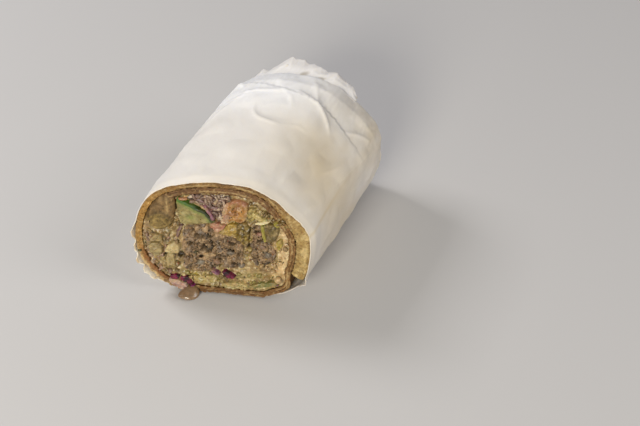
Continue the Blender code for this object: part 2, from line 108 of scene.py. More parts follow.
# The camera, in the wrap's frame
CAMERA_PLACE = (207.72, -364.08, 377.4)
CAMERA_TURN = 26.5
CAMERA_DOWN = 41.27
LENS = 70.0


def smooth(x):
    """0 below 0, 1 above 1, and an even curve between."""
    x = min(max(x, 0.0), 1.0)
    return x * x * (3 - 2 * x)


def girth_at(back):
    swell = SWELL * math.sin(math.pi / 2 * min(back / SWELL_END, 1.0))
    return 1 + swell - END_TAPER * smooth((back - TAPER_START) / (1 - TAPER_START))


def girth(depth):
    """The girth at this depth, straight between the stations as in the part's source."""
    for near, far in zip(STATIONS, STATIONS[1:]):
        if depth < far or far == STATIONS[-1]:
            share = min(max((depth - near) / (far - near), 0.0), 1.0)
            return girth_at(near / LENGTH) * (1 - share) + girth_at(far / LENGTH) * share


def place(u, v, depth):
    """A point of the cut face, and how far it lies behind it, as a point of the wrap's frame."""
    back = min(max(depth / LENGTH, 0.0), 1.0)
    wide = girth(depth)
    bias, lean = math.radians(BIAS), math.radians(LEAN)
    at_cut = u * math.sin(bias) + v * math.sin(lean)
    slant = at_cut * (1 - back) + u * math.tan(math.radians(END_SKEW)) * back
    x = SHIFT_X + u * math.cos(bias) * wide + DRIFT * back
    z = v * math.cos(lean) * wide
    return Vector((x, SHIFT_Y + slant + depth, z)) * MM


def oval(degrees, inset=0.0):
    """A point of the flatbread's outer edge on the cut, moved in by inset."""
    t = math.radians(degrees)
    power = 2 / OVAL_POWER
    across = math.copysign(abs(math.cos(t)) ** power, math.cos(t))
    up = math.copysign(abs(math.sin(t)) ** power, math.sin(t))
    bulge = 0.0
    for angle, spread, height in BUMPS:
        off = (degrees - angle + 180) % 360 - 180
        bulge += height * math.exp(-((off / spread) ** 2))
    half_height = (CUT_HEIGHT + UNDERSIDE) / 2
    u = OVAL_CENTRE_U + (CUT_WIDTH / 2 - inset + bulge) * across
    v = CUT_HEIGHT - half_height + (half_height - inset + bulge) * up
    return u, max(v, inset + PAPER + GAP)


def bread_layer(degrees):
    """How far in the middle of the layer lies at this angle along the spiral, and how thick it is."""
    outer = BREAD_THICKNESS + (TAIL_THICKNESS - BREAD_THICKNESS) * (
        1 - smooth((degrees % 360 - TAIL_THINS_FROM) / (TAIL_THINS_TO - TAIL_THINS_FROM)))
    if degrees < 0 or degrees % 360 > 360 + TAIL_ANGLE:
        outer = TAIL_THICKNESS
    if degrees < TUCK_START:
        return outer / 2, outer
    inner = outer + LAYER_GAP + INNER_THICKNESS / 2
    if degrees < 360 + TAIL_ANGLE:
        inner = TAIL_THICKNESS + LAYER_GAP + INNER_THICKNESS / 2
    tucked = smooth((degrees - TUCK_START) / (TUCK_END - TUCK_START))
    middle = BREAD_THICKNESS / 2 * (1 - tucked) + inner * tucked
    return middle, BREAD_THICKNESS + (INNER_THICKNESS - BREAD_THICKNESS) * tucked


def filling_edge(degrees):
    """A point of the filling's outline: just inside the innermost layer of flatbread at this angle."""
    degrees %= 360
    on_path = degrees + 360 if degrees + 360 <= INNER_END_ANGLE + 7.0 else degrees
    middle, thick = bread_layer(on_path)
    return oval(degrees, middle + thick / 2 + GAP)


def inside(point, outline):
    odd = False
    for (x0, y0), (x1, y1) in zip(outline, outline[1:] + outline[:1]):
        if (y0 > point[1]) != (y1 > point[1]) and point[0] < (x1 - x0) * (point[1] - y0) / (y1 - y0) + x0:
            odd = not odd
    return odd


def edge_distance(point, outline):
    """How far the point is from the nearest edge of the outline."""
    best = 1e9
    p = Vector(point)
    for a, b in zip(outline, outline[1:] + outline[:1]):
        a, b = Vector(a), Vector(b)
        run = b - a
        share = min(max((p - a).dot(run) / max(run.length_squared, 1e-9), 0.0), 1.0)
        best = min(best, (p - a - run * share).length)
    return best


def scattered(outline, count, spacing, rng):
    """Up to count points inside the outline, no two nearer than spacing."""
    low_u, high_u = min(p[0] for p in outline), max(p[0] for p in outline)
    low_v, high_v = min(p[1] for p in outline), max(p[1] for p in outline)
    found = []
    for _ in range(count * 40):
        point = (rng.uniform(low_u, high_u), rng.uniform(low_v, high_v))
        if all(math.dist(point, other) > spacing for other in found) and inside(point, outline):
            found.append(point)
        if len(found) == count:
            break
    return found


def curve_through(points, steps, closed=True):
    """Smooth points through these, as a Catmull-Rom curve."""
    found = []
    count = len(points)
    for i in range(count if closed else count - 1):
        if closed:
            near = [points[(i + k) % count] for k in (-1, 0, 1, 2)]
        else:
            near = [points[min(max(i + k, 0), count - 1)] for k in (-1, 0, 1, 2)]
        p0, p1, p2, p3 = (Vector(p) for p in near)
        for k in range(steps):
            t = k / steps
            found.append(tuple(0.5 * (2 * p1 + (p2 - p0) * t + (2 * p0 - 5 * p1 + 4 * p2 - p3) * t * t
                                      + (3 * p1 - p0 - 3 * p2 + p3) * t ** 3)))
    if not closed:
        found.append(tuple(points[-1]))
    return found


def fbm(point, octaves=4):
    """Layered noise between about -1 and 1."""
    return noise.fractal(Vector(point), 0.8, 2.1, octaves)


def mix(a, b, share):
    share = min(max(share, 0.0), 1.0)
    return tuple(x * (1 - share) + y * share for x, y in zip(a, b))


def rgb(red, green, blue):
    """A colour from its 0 to 255 screen values."""
    return tuple((c / 255 / 12.92) if c < 11 else ((c / 255 + 0.055) / 1.055) ** 2.4
                 for c in (red, green, blue))


def scaled(tone, by):
    return tuple(c * by for c in tone)


def painted(tone, *coats):
    """The tone with coats of screen colour laid over it, each as (colour, share)."""
    for colour, share in coats:
        tone = mix(tone, rgb(*colour), share)
    return tone


def noise_at(u, v, scale, layer, octaves=3):
    """Layered noise over the cut face; each layer is another pattern."""
    return fbm((u * scale, v * scale, layer), octaves)


def towards(centre, point, share):
    """The point this share of the way from the centre to the point."""
    return centre[0] + (point[0] - centre[0]) * share, centre[1] + (point[1] - centre[1]) * share


# Materials


def new_material(name, roughness, colour=None):
    """A Principled material whose colour is a value or the mesh's own tint."""
    made = bpy.data.materials.new(name)
    made.use_nodes = True
    nodes, links = made.node_tree.nodes, made.node_tree.links
    shader = nodes["Principled BSDF"]
    shader.inputs["Roughness"].default_value = roughness
    if colour is None:
        tint = nodes.new("ShaderNodeAttribute")
        tint.attribute_name = "tint"
        return made, nodes, links, shader, tint.outputs["Color"]
    tint = nodes.new("ShaderNodeRGB")
    tint.outputs[0].default_value = (*colour, 1)
    return made, nodes, links, shader, tint.outputs[0]


def noise_node(nodes, links, scale, detail, roughness):
    """Noise that stays with the object; the scale is in ripples per metre."""
    coordinates = nodes.new("ShaderNodeTexCoord")
    made = nodes.new("ShaderNodeTexNoise")
    made.inputs["Scale"].default_value = scale
    made.inputs["Detail"].default_value = detail
    made.inputs["Roughness"].default_value = roughness
    links.new(coordinates.outputs["Object"], made.inputs["Vector"])
    return made.outputs["Fac"]


def ramp_node(nodes, links, source, stops):
    """A colour ramp over a noise. The stops are (place, grey or colour)."""
    made = nodes.new("ShaderNodeValToRGB")
    elements = made.color_ramp.elements
    while len(elements) < len(stops):
        elements.new(0.5)
    for element, (where, value) in zip(elements, stops):
        element.position = where
        element.color = (*value, 1) if isinstance(value, tuple) else (value, value, value, 1)
    links.new(source, made.inputs["Fac"])
    return made.outputs["Color"]


def multiplied(nodes, links, a, b):
    """The product of two colour sockets."""
    made = nodes.new("ShaderNodeMix")
    made.data_type = "RGBA"
    made.blend_type = "MULTIPLY"
    made.inputs[0].default_value = 1.0
    links.new(a, made.inputs[6])
    links.new(b, made.inputs[7])
    return made.outputs[2]


def bump(nodes, links, shader, source, strength, distance):
    made = nodes.new("ShaderNodeBump")
    made.inputs["Strength"].default_value = strength
    made.inputs["Distance"].default_value = distance
    links.new(source, made.inputs["Height"])
    links.new(made.outputs["Normal"], shader.inputs["Normal"])


def soften(shader, weight, radius):
    """Light that scatters a little inside moist food or thin paper."""
    shader.inputs["Subsurface Weight"].default_value = weight
    shader.inputs["Subsurface Radius"].default_value = radius
    shader.inputs["Subsurface Scale"].default_value = MM


# Moist foods: roughness, size and darkness of the specks, size and strength of the bumps, softness, wet gloss
FOODS = {
    "baked_flatbread": (0.7, 700.0, 0.72, 1400.0, 0.3, 0.1, 0.0),
    "creamy_sauce": (0.38, 450.0, 0.85, 700.0, 0.2, 0.3, 0.2),
    "glossy_sauce": (0.14, 700.0, 0.8, 500.0, 0.15, 0.4, 0.8),
    "chopped_meat": (0.5, 600.0, 0.72, 1100.0, 0.2, 0.15, 0.12),
    "pulled_meat_fibres": (0.4, 800.0, 0.75, 1500.0, 0.25, 0.2, 0.25),
    "moist_vegetable": (0.4, 800.0, 0.85, 900.0, 0.2, 0.35, 0.18),
    "pickled_skin": (0.4, 600.0, 0.75, 900.0, 0.3, 0.2, 0.2),
    "cabbage_leaf": (0.4, 900.0, 0.8, 900.0, 0.1, 0.1, 0.1),
    "herb_flakes": (0.5, 2000.0, 0.7, 2000.0, 0.3, 0.0, 0.0),
}
FOOD_GLOW = (1.0, 0.6, 0.35)
PAPER_GLOW = (1.0, 0.85, 0.6)


def food_material(name, colour=None):
    """Moist food: its tint or a colour, darker and lighter specks, fine bumps and a little depth."""
    roughness, speck_scale, dark, bump_scale, bump_strength, soft, coat = FOODS[name]
    made, nodes, links, shader, tint = new_material(name, roughness, colour)
    specks = noise_node(nodes, links, speck_scale, 4.0, 0.7)
    shade = ramp_node(nodes, links, specks, ((0.32, dark), (0.47, 1.0), (0.66, 1.3)))
    links.new(multiplied(nodes, links, tint, shade), shader.inputs["Base Color"])
    bump(nodes, links, shader, noise_node(nodes, links, bump_scale, 5.0, 0.65), bump_strength, 0.4 * MM)
    soften(shader, soft, FOOD_GLOW)
    shader.inputs["Coat Weight"].default_value = coat
    shader.inputs["Coat Roughness"].default_value = 0.2
    return made


def paper_material():
    """Greaseproof paper: the mesh's tint, faintly mottled, with a little light passing through."""
    made, nodes, links, shader, tint = new_material("greaseproof_paper", 0.55)
    mottle = noise_node(nodes, links, 60.0, 3.0, 0.5)
    shade = ramp_node(nodes, links, mottle, ((0.3, 0.965), (0.7, 1.0)))
    links.new(multiplied(nodes, links, tint, shade), shader.inputs["Base Color"])
    bump(nodes, links, shader, noise_node(nodes, links, 900.0, 4.0, 0.7), 0.12, 0.2 * MM)
    soften(shader, 0.15, PAPER_GLOW)
    return made


# Meshes


def add_mesh(name, points, faces, material, tints=None, shade=True):
    """A mesh piece for the wrap. tints gives each point's colour."""
    mesh = bpy.data.meshes.new(name)
    mesh.from_pydata([tuple(p) for p in points], [], faces)
    if tints is not None:
        layer = mesh.attributes.new("tint", "FLOAT_COLOR", "POINT")
        flat = np.ones((len(points), 4), np.float32)
        flat[:, :3] = np.array(tints, np.float32)
        layer.data.foreach_set("color", flat.ravel())
    made = bpy.data.objects.new(name, mesh)
    bpy.context.scene.collection.objects.link(made)
    mesh.materials.append(material)
    if shade:
        mesh.shade_smooth()
    return made


def settle(piece, slot, *nodes):
    """The piece rides on the wrap and stands for these nodes; the slot is not used."""
    if nodes:
        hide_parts(*nodes)
    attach(piece, "root")
    return piece


def face_outward(piece):
    bm = bmesh.new()
    bm.from_mesh(piece.data)
    bmesh.ops.recalc_face_normals(bm, faces=bm.faces)
    bm.to_mesh(piece.data)
    bm.free()


def lattice_faces(rows, columns, wrap):
    """The quads of a grid of points stored row by row; wrap closes each row on itself."""
    faces = []
    for r in range(rows - 1):
        for c in range(columns if wrap else columns - 1):
            d = (c + 1) % columns
            faces.append((r * columns + c, r * columns + d, (r + 1) * columns + d, (r + 1) * columns + c))
    return faces


def closing_faces(rows, columns):
    """The quads of closed rings, and triangles from the last ring to the one point stored after it."""
    last, middle = (rows - 1) * columns, rows * columns
    fan = [(last + c, last + (c + 1) % columns, middle) for c in range(columns)]
    return lattice_faces(rows, columns, True) + fan


class Lumps:
    """Collects many small rough lumps into one mesh."""

    def __init__(self, detail):
        bm = bmesh.new()
        bmesh.ops.create_icosphere(bm, subdivisions=detail, radius=1.0)
        self.shape = [v.co.copy() for v in bm.verts]
        self.corners = [tuple(v.index for v in f.verts) for f in bm.faces]
        bm.free()
        self.points, self.faces, self.tints = [], [], []

    def add(self, centre, radii, turn, tint, rough, seed, grain=1.0):
        """A lump at a point in metres, its radii in millimetres, its surface rough by a share of them, with
        painted shade in its dips.
        """
        first = len(self.points)
        offset = Vector((seed * 7.31, seed * 3.17, seed * 1.93))
        for p in self.shape:
            swell = 1 + rough * fbm(p * grain + offset, 3)
            q = Vector((p.x * radii[0], p.y * radii[1], p.z * radii[2])) * swell
            self.points.append(centre + turn @ q * MM)
            # painted shade: darker where the surface dips in
            low = 0.15 - 1.2 * (swell - 1) / max(rough, 0.01)
            self.tints.append(mix(tint, scaled(tint, 0.5), low))
        self.faces += [tuple(first + i for i in f) for f in self.corners]

    def piece(self, name, material):
        return add_mesh(name, self.points, self.faces, material, self.tints)


def random_turn(rng):
    axis = Vector((rng.uniform(-1, 1), rng.uniform(-1, 1), rng.uniform(-1, 1))).normalized()
    return Matrix.Rotation(rng.uniform(0, math.tau), 3, axis)


def rough_radii(size, rng, *spans):
    """Radii about this size, each a random share of it within its span."""
    return tuple(size * rng.uniform(low, high) for low, high in spans)


def relief_body(name, curve, centre, rings, depth_of, tint_of, back, slim, material):
    """A body behind an outline on the cut, its front a relief made of rings that shrink to the centre."""
    points, tints = [], []
    backs = ((back, slim), (back * 0.5, slim), (3.0, (1 + slim) / 2))
    for depth, scale in backs:
        for u, v in (towards(centre, point, scale) for point in curve):
            points.append(place(u, v, depth))
            tints.append(tint_of(u, v, 1.0))
    for r in range(rings):
        share = 1 - r / rings
        for u, v in (towards(centre, point, share) for point in curve):
            points.append(place(u, v, depth_of(u, v, share)))
            tints.append(tint_of(u, v, share))
    points.append(place(*centre, depth_of(*centre, 0.0)))
    tints.append(tint_of(*centre, 0.0))
    faces = closing_faces(rings + len(backs), len(curve))
    faces.append(tuple(range(len(curve))))
    body = add_mesh(name, points, faces, material, tints)
    face_outward(body)
    return body


def crumbs_at(u, v, size, layer):
    """The crumb at this point: how high it rises, how far its border is, and its own random draw."""
    distances, centres = noise.voronoi(Vector((u / size, v / size, layer)))
    border = smooth((distances[1] - distances[0]) / 0.22)
    draw = 0.5 + 0.5 * noise.cell(centres[0] * 7.3 + Vector((layer, 2.0, 1.0)))
    return 1 - min(distances[0], 1.0) ** 2, border, draw


# A turn that lays a lump's length along the cut
ALONG_CUT = Matrix.Rotation(math.radians(BIAS), 3, "Z") @ Matrix.Rotation(math.radians(-LEAN), 3, "X")


# The paper

# Creases: a route of (angle round the wrap, depth), height (below 0 it is pressed in), width
CREASES = (
    (((176, 4), (168, 30), (158, 58), (150, 80)), 0.55, 1.2),
    (((168, 12), (160, 38), (148, 66)), -0.4, 0.9),
    (((158, 2), (150, 34), (139, 62), (132, 74)), 0.5, 0.9),
    (((150, 6), (144, 26), (137, 50)), 0.3, 0.6),
    (((140, 44), (128, 60), (116, 72)), 0.45, 0.8),
    (((146, 50), (137, 60), (122, 66), (110, 67)), 0.3, 0.6),
    (((128, 68), (112, 70), (98, 71), (92, 74)), 0.9, 0.9),
    (((92, 74), (84, 72), (72, 68), (60, 61), (50, 54)), 1.0, 0.9),
    (((96, 74), (88, 66), (84, 58)), 0.5, 0.7),
    (((100, 58), (97, 66), (93, 73)), -0.9, 1.6),
    (((88, 60), (90, 67), (92, 73)), -0.6, 1.2),
    (((106, 60), (104, 54), (98, 49), (88, 46), (82, 45)), 0.7, 0.8),
    (((96, 60), (99, 54), (94, 51)), -0.4, 1.1),
    (((84, 45), (74, 48), (64, 46)), 0.3, 0.7),
    (((70, 66), (78, 78), (84, 88)), 0.5, 0.9),
    (((112, 72), (110, 80), (106, 90)), 0.45, 0.9),
    (((122, 72), (124, 80), (120, 89)), 0.4, 0.7),
    (((98, 76), (96, 84), (98, 90)), 0.4, 0.7),
    (((60, 8), (54, 30), (46, 50)), 0.3, 1.2),
    (((120, 3), (112, 20), (106, 38)), 0.15, 1.4),
    (((30, 4), (22, 28), (14, 56), (8, 80)), 0.5, 1.2),
    (((10, 20), (2, 48), (-8, 78)), -0.45, 1.2),
    (((44, 62), (30, 70), (14, 76)), 0.6, 0.9),
    (((38, 30), (28, 44), (24, 64)), 0.35, 0.8),
    (((126, 74), (138, 82), (150, 88)), 0.6, 0.9),
)
MM_PER_DEGREE = 0.58  # along the paper's surface
FLAT_BELOW = -0.55  # sine of the angle below which the paper's broad waves stop
FINE_BELOW = -0.75  # and its fine crumples
SEAM_RISE = 20.0  # the seam's step builds up over this length, which ends this far before the seam:
SEAM_REST = 4.0
FLAP_ANGLE = -29.0  # where the front edge stands out as a small flap
COLUMNS = 360
EDGE_DEPTHS = [0.0, 0.4, 0.8, 1.3, 2.0, 3.0]
WALL_ROWS = 96
# The closed end's rings: share of the way to the rim, how far out
END_RINGS = ((0.985, 0.8), (0.955, 1.4), (0.90, 1.8), (0.75, 2.0), (0.55, 2.0), (0.35, 2.0), (0.15, 2.0))
END_MIDDLE = CUT_HEIGHT / 2
END_WHITE = (232, 227, 222)


def seam_relief(t, depth):
    """The step where the top layer of paper ends, over the crown."""
    seam = SEAM_DEPTH - SEAM_SWING * math.cos(t)
    step = SEAM_STEP * smooth((depth - seam + SEAM_RISE + SEAM_REST) / SEAM_RISE) if depth < seam else 0.0
    return step * smooth(math.sin(t))


def crumple(degrees, depth):
    """The paper's broad waves, as in the part's source."""
    t = math.radians(degrees)
    if math.sin(t) < FLAT_BELOW:
        return 0.0
    waves = (math.sin(7 * t + depth * 0.11) + math.sin(11 * t - depth * 0.23 + 1.0)
             + math.sin(4 * t + depth * 0.3))
    return CRUMPLE * max(waves, 0.0) / 3 + seam_relief(t, depth)


def crease_lines():
    """Each crease as a smooth line of points in millimetres along the paper's own surface."""
    lines = []
    for points, height, width in CREASES:
        line = curve_through(points, 5, closed=False)
        lines.append((np.array([(a * MM_PER_DEGREE, d) for a, d in line]), height, width))
    return lines


def crease_height(degrees, depth, lines):
    """How far the creases lift or press the paper here."""
    here = np.array((degrees * MM_PER_DEGREE, depth))
    total = 0.0
    for line, height, width in lines:
        a, b = line[:-1], line[1:]
        run = b - a
        share = np.clip(((here - a) * run).sum(1) / (run * run).sum(1), 0, 1)
        distance = np.sqrt((((a + run * share[:, None]) - here) ** 2).sum(1)).min()
        ends = min(np.hypot(*(here - line[0])), np.hypot(*(here - line[-1])))
        if distance < 4 * width:
            total += height * math.exp(-distance / width) * smooth(ends / 8.0 + 0.15)
    return total


def ridged(point, steep=2.0, seed=(0, 0, 0)):
    """Noise with sharp ridges: 1 along its ridge lines."""
    return 1 - abs(noise.noise(Vector(point) + Vector(seed))) * steep


def paper_relief(degrees, depth, lines):
    """Fine crumples on top of the broad waves, none where the paper lies on the surface."""
    t = math.radians(degrees)
    if math.sin(t) < FINE_BELOW:
        return 0.0
    free = smooth((math.sin(t) - FINE_BELOW) / 0.35)
    far = smooth((depth - 55.0) / 30.0)
    where = Vector((math.cos(t) * 3.2, math.sin(t) * 3.2, depth * 0.035))
    facets = ridged(where * 1.7)
    small = ridged(where * 4.3, seed=(5, 2, 9))
    soft = noise.noise(where * 0.9)
    rough = 0.2 * soft + (0.10 + 0.30 * far) * facets + (0.03 + 0.20 * far) * small - 0.3
    return free * max(rough + crease_height(degrees, depth, lines), -PAPER_SLACK * 0.8)


def low_left_side(t):
    """1 on the left and lower side of the sleeve, where its front edge flares and is stained."""
    return smooth((-math.cos(t) - 0.1) / 0.5) * smooth((0.3 - math.sin(t)) / 0.35)


def turned_from(degrees, middle):
    """How far this angle is from another one, between -180 and 180 degrees."""
    return ((degrees + 180) % 360 - 180) - middle


def stain(degrees, depth, right):
    """How much cream the paper takes here: bread and sauce showing through, and on the right side painted
    shade.
    """
    t = math.radians(degrees)
    near = smooth(1 - depth / 9.0)
    mottle = 0.5 + 0.5 * fbm((math.cos(t) * 2.2, math.sin(t) * 2.2, depth * 0.03), 3)
    # painted shade: the right side takes more of the cream, mottled and growing away from the cut
    broad = (0.2 + 0.4 * mottle) * right * (0.3 + 0.7 * smooth(depth / 24.0))
    share = 0.10 + near * (0.14 + 0.05 * right) + broad
    share += 0.15 * right * smooth((depth - 18) / 20.0) * smooth((60 - depth) / 15.0)
    line = math.exp(-((degrees - 12 - depth * 0.08) / 1.3) ** 2) * smooth(1 - depth / 60.0)
    return share + 0.35 * line


def paper_tint(degrees, depth):
    """Warm white, with bread and sauce showing through near the cut, painted shade in the same cream on the
    right, and painted grey shade at the lower right near the cut.
    """
    t = math.radians(degrees)
    white = mix(rgb(236, 231, 226), rgb(250, 249, 250), smooth((depth - 45) / 25.0))
    right = smooth((math.cos(t) + 0.25) / 1.1)
    low_right = math.exp(-(turned_from(degrees, -38) / 26.0) ** 2) * smooth(1 - depth / 14.0)
    edge = smooth(1 - depth / 2.0) * low_left_side(t)
    crust = smooth(0.5 + 2.0 * fbm((math.cos(t) * 14, math.sin(t) * 14, depth * 0.8), 4))
    tone = painted(
        white,
        ((214, 194, 158), stain(degrees, depth, right)),
        # painted shade: grey at the lower right near the cut
        ((196, 188, 180), 0.7 * low_right))
    return mix(tone, mix(rgb(240, 230, 208), rgb(206, 176, 124), crust), 0.75 * edge)


def wall_point(degrees, depth, relief):
    """A point of the sleeve. At the cut it hugs the bread, its edge is torn, and it flares at the left."""
    t = math.radians(degrees)
    near = smooth(1 - depth / 4.0)
    left = low_left_side(t)
    bottom = smooth((-math.sin(t) - 0.72) / 0.15)
    flap = math.exp(-(turned_from(degrees, FLAP_ANGLE) / 4.0) ** 2)
    torn = fbm((math.cos(t) * 6, math.sin(t) * 6, 2.0), 4)
    flare = near * (left * (0.6 + 1.2 * torn) + 1.9 * flap * (0.9 + 1.5 * torn)) * (1 - bottom)
    hug = 1 - 0.7 * near
    slack = (PAPER_SLACK + PAPER / 2) * hug + (crumple(degrees, depth) + relief) * hug
    u, v = oval(degrees, -slack - max(flare, 0.0))
    reach = 0.25 + 0.5 * left * (0.4 + torn) + 1.2 * flap - 2.0 * bottom + 0.5 * torn
    forward = smooth(1 - depth / 3.0) * reach
    return place(u, max(v, PAPER / 2), depth) - Vector((0, forward * MM, 0))


def end_point(degrees, share, out, lines):
    """A point of the closed end, this share of the way from its middle to its rim."""
    relief = paper_relief(degrees, LENGTH, lines) * smooth((share - 0.8) * 6)
    u, v = oval(degrees, -PAPER_SLACK - PAPER / 2 - (crumple(degrees, LENGTH) + relief) * share ** 4)
    u, v = u * share, END_MIDDLE + (max(v, PAPER / 2) - END_MIDDLE) * share
    return place(u, v, LENGTH + out + 0.3 * noise_at(u, v, 0.1, 3.0) * (1 - share) * 4)


def thicken(sheet, thickness, offset=0.0):
    """Gives a sheet of paper its thickness in millimetres."""
    solidify = sheet.modifiers.new("Solidify", "SOLIDIFY")
    solidify.thickness = thickness * MM
    solidify.offset = offset


def make_paper():
    """The sleeve with its closed end, then the flaps and the frill there."""
    lines = crease_lines()
    last_edge = EDGE_DEPTHS[-1]
    depths = EDGE_DEPTHS + [last_edge + (LENGTH - last_edge) * i / WALL_ROWS for i in range(1, WALL_ROWS + 1)]
    round_it = [360 * c / COLUMNS for c in range(COLUMNS)]
    points, tints = [], []
    for depth in depths:
        points += [wall_point(degrees, depth, paper_relief(degrees, depth, lines)) for degrees in round_it]
        tints += [paper_tint(degrees, depth) for degrees in round_it]
    for share, out in END_RINGS:
        points += [end_point(degrees, share, out, lines) for degrees in round_it]
    points.append(place(0, END_MIDDLE, LENGTH + END_OUT))
    tints += [rgb(*END_WHITE)] * (len(points) - len(tints))
    material = paper_material()
    faces = closing_faces(len(depths) + len(END_RINGS), COLUMNS)
    paper = add_mesh("paper_sleeve", points, faces, material, tints)
    face_outward(paper)
    thicken(paper, 0.3, -0.2)
    settle(paper, "paper", "paper")
    make_end_flaps(material)
    make_ruffle(material)


# The loose frill past the closed end: angle along the rim, reach, lift
RUFFLE = ((152.0, 3.0, 1.2), (146.0, 5.5, 0.4), (140.0, 4.0, -0.6), (133.0, 7.0, 0.6), (126.0, 6.0, -0.8),
          (118.0, 8.5, 0.5), (112.0, 13.5, 1.2), (105.0, 13.5, 0.2), (97.0, 12.0, -0.8), (90.0, 9.5, 0.4),
          (82.0, 9.0, -0.7), (74.0, 7.5, 0.6), (66.0, 7.5, -0.6), (58.0, 5.5, 0.4), (50.0, 3.5, 0.3))
RUFFLE_WIDTH = RUFFLE[0][0] - RUFFLE[-1][0]
# Its two sheets: name, share of the reach, drop, height of the pleats, colour at the rim and at the edge; the
# greyer colour at the edge is painted shade
FRILLS = (
    ("paper_frill", 1.0, 0.0, 0.55, (246, 241, 236), (224, 219, 216)),
    ("paper_frill_inner", 0.55, -1.0, 1.1, (240, 231, 216), (234, 223, 206)),
)
# painted shade in the valleys of the pleats
PLEAT_SHADE = (196, 186, 172)
FRILL_START = -0.14  # the sheets start this share of their reach inside the rim
FRILL_SHEET = 0.22


def ruffle_at(degrees):
    """How far the loose edge reaches past the rim at this angle, and how far it lifts."""
    for (a, reach_a, lift_a), (b, reach_b, lift_b) in zip(RUFFLE, RUFFLE[1:]):
        if degrees >= b:
            share = (a - degrees) / (a - b)
            return reach_a * (1 - share) + reach_b * share, lift_a * (1 - share) + lift_b * share
    return RUFFLE[-1][1], RUFFLE[-1][2]


def frill_point(degrees, along, scale, drop, pleats):
    """A point of a frill, this share of its reach past the rim, and how high its pleat stands there."""
    reach, lift = ruffle_at(degrees)
    u, v = oval(degrees, -PAPER_SLACK - PAPER / 2 - crumple(degrees, LENGTH) + 0.3)
    ragged = 1 + 0.16 * fbm((degrees * 0.09, scale * 9, 1.0), 3)
    out = max(along, 0.0)
    pleat = ridged((degrees * 0.09, out * 1.2 + scale * 7, 3.0), 3.2) * 0.8
    small = ridged((degrees * 0.3, out * 2.5, 5.0 + scale), 3.0) * 0.2
    rise = lift * out + drop * smooth(out * 3) + pleats * (pleat + small) * out ** 0.7 * 0.8
    rise += 0.4 * smooth(-along / 0.1) - 0.3
    past_rim = Vector((0.25 * pleat * out, reach * scale * along * ragged, rise)) * MM
    return place(u, v, LENGTH) + past_rim, pleat


def make_ruffle(material):
    """The paper's loose edge past the closed end: an outer frill and a shorter, pleated one inside it."""
    columns, rows = 260, 26
    for name, scale, drop, pleats, tone, far_tone in FRILLS:
        points, tints = [], []
        for r in range(rows):
            along = FRILL_START + (1 - FRILL_START) * r / (rows - 1)
            # greyer towards the loose edge: painted shade
            shade = mix(rgb(*tone), rgb(*far_tone), smooth((max(along, 0.0) - 0.35) / 0.4))
            for c in range(columns):
                degrees = RUFFLE[0][0] - RUFFLE_WIDTH * c / (columns - 1)
                point, pleat = frill_point(degrees, along, scale, drop, pleats)
                points.append(point)
                # painted shade in the pleats' valleys
                tints.append(mix(shade, rgb(*PLEAT_SHADE), smooth(-pleat * 1.2)))
        frill = add_mesh(name, points, lattice_faces(rows, columns, False), material, tints)
        thicken(frill, FRILL_SHEET)
        settle(frill, "paper")


# The flaps that close the far end: first and last angle of the rim, tip, how far out
END_FLAPS = (
    (112.0, 250.0, (15.0, 28.0), 0.5),
    (-74.0, 66.0, (-14.0, 26.0), 1.0),
    (200.0, 340.0, (3.0, 46.0), 1.6),
)
FLAP_SHEET = 0.25


def flap_point(k, s, across):
    """A point of the flap, s of the way from the rim to its tip, and how its crease stands there."""
    first, last, tip, out = END_FLAPS[k]
    u, v = oval(first + (last - first) * across, -PAPER_SLACK - PAPER / 2 + 0.4 * s)
    v = max(v, PAPER / 2 + 0.1)
    edge = min(across, 1 - across)
    blunt = 1 - 0.16 * smooth(s * 2) * smooth(1 - edge / 0.2)
    u = u * (1 - s) + tip[0] * s
    v = v * (1 - s) + tip[1] * s * blunt + v * s * (1 - blunt)
    crease = ridged((across * 5.0 + k * 9, s * 0.9, 2.0), 3.2)
    small = noise.noise(Vector((u * 0.35, v * 0.35, 6.0 + k)))
    lift = out + 0.35 * crease * smooth(s * 4) * smooth(edge * 6) + 0.18 * small
    turn_in = smooth(s / 0.09)
    return place(u, v, LENGTH - 0.6 * (1 - turn_in) + (END_OUT + lift) * turn_in), crease


def make_end_flaps(material):
    """Triangles of paper folded one over the other, each turned in at the rim and creased towards its tip,
    with painted shade in the creases' valleys.
    """
    rows, columns = 34, 70
    for k in range(len(END_FLAPS)):
        points, tints = [], []
        for r in range(rows):
            for c in range(columns):
                point, crease = flap_point(k, (r / (rows - 1)) ** 1.3, c / (columns - 1))
                points.append(point)
                # painted shade: darker in the valleys of the creases
                tints.append(mix(rgb(233, 228, 223), rgb(214, 206, 197), smooth(-crease * 0.8)))
        flap = add_mesh(f"paper_flap_{k}", points, lattice_faces(rows, columns, False), material, tints)
        thicken(flap, FLAP_SHEET)
        settle(flap, "paper")


# The flatbread

# The colours of the flatbread's cut by the angle along its spiral: crumb and skin
BREAD_TONES = (
    (-26, (166, 140, 86), (128, 88, 42)),
    (10, (168, 142, 88), (124, 84, 40)),
    (40, (146, 114, 64), (96, 62, 28)),
    (75, (126, 92, 46), (86, 56, 24)),
    (110, (122, 90, 44), (90, 58, 24)),
    (150, (158, 118, 56), (140, 98, 42)),
    (185, (156, 118, 58), (150, 106, 48)),
    (215, (146, 106, 62), (132, 80, 34)),
    (250, (108, 72, 28), (76, 46, 18)),
    (290, (106, 70, 26), (74, 44, 16)),
    (330, (130, 94, 48), (92, 58, 28)),
    (380, (128, 92, 48), (84, 54, 26)),
    (420, (118, 84, 48), (74, 48, 26)),
    (450, (112, 78, 44), (72, 46, 26)),
    (500, (112, 80, 46), (74, 48, 26)),
)
TAIL_ROUND = 2.6  # the tail's end is rounded off over this angle
TAIL_ROUND_STEPS = 8
TAIL_CAP = 2.7
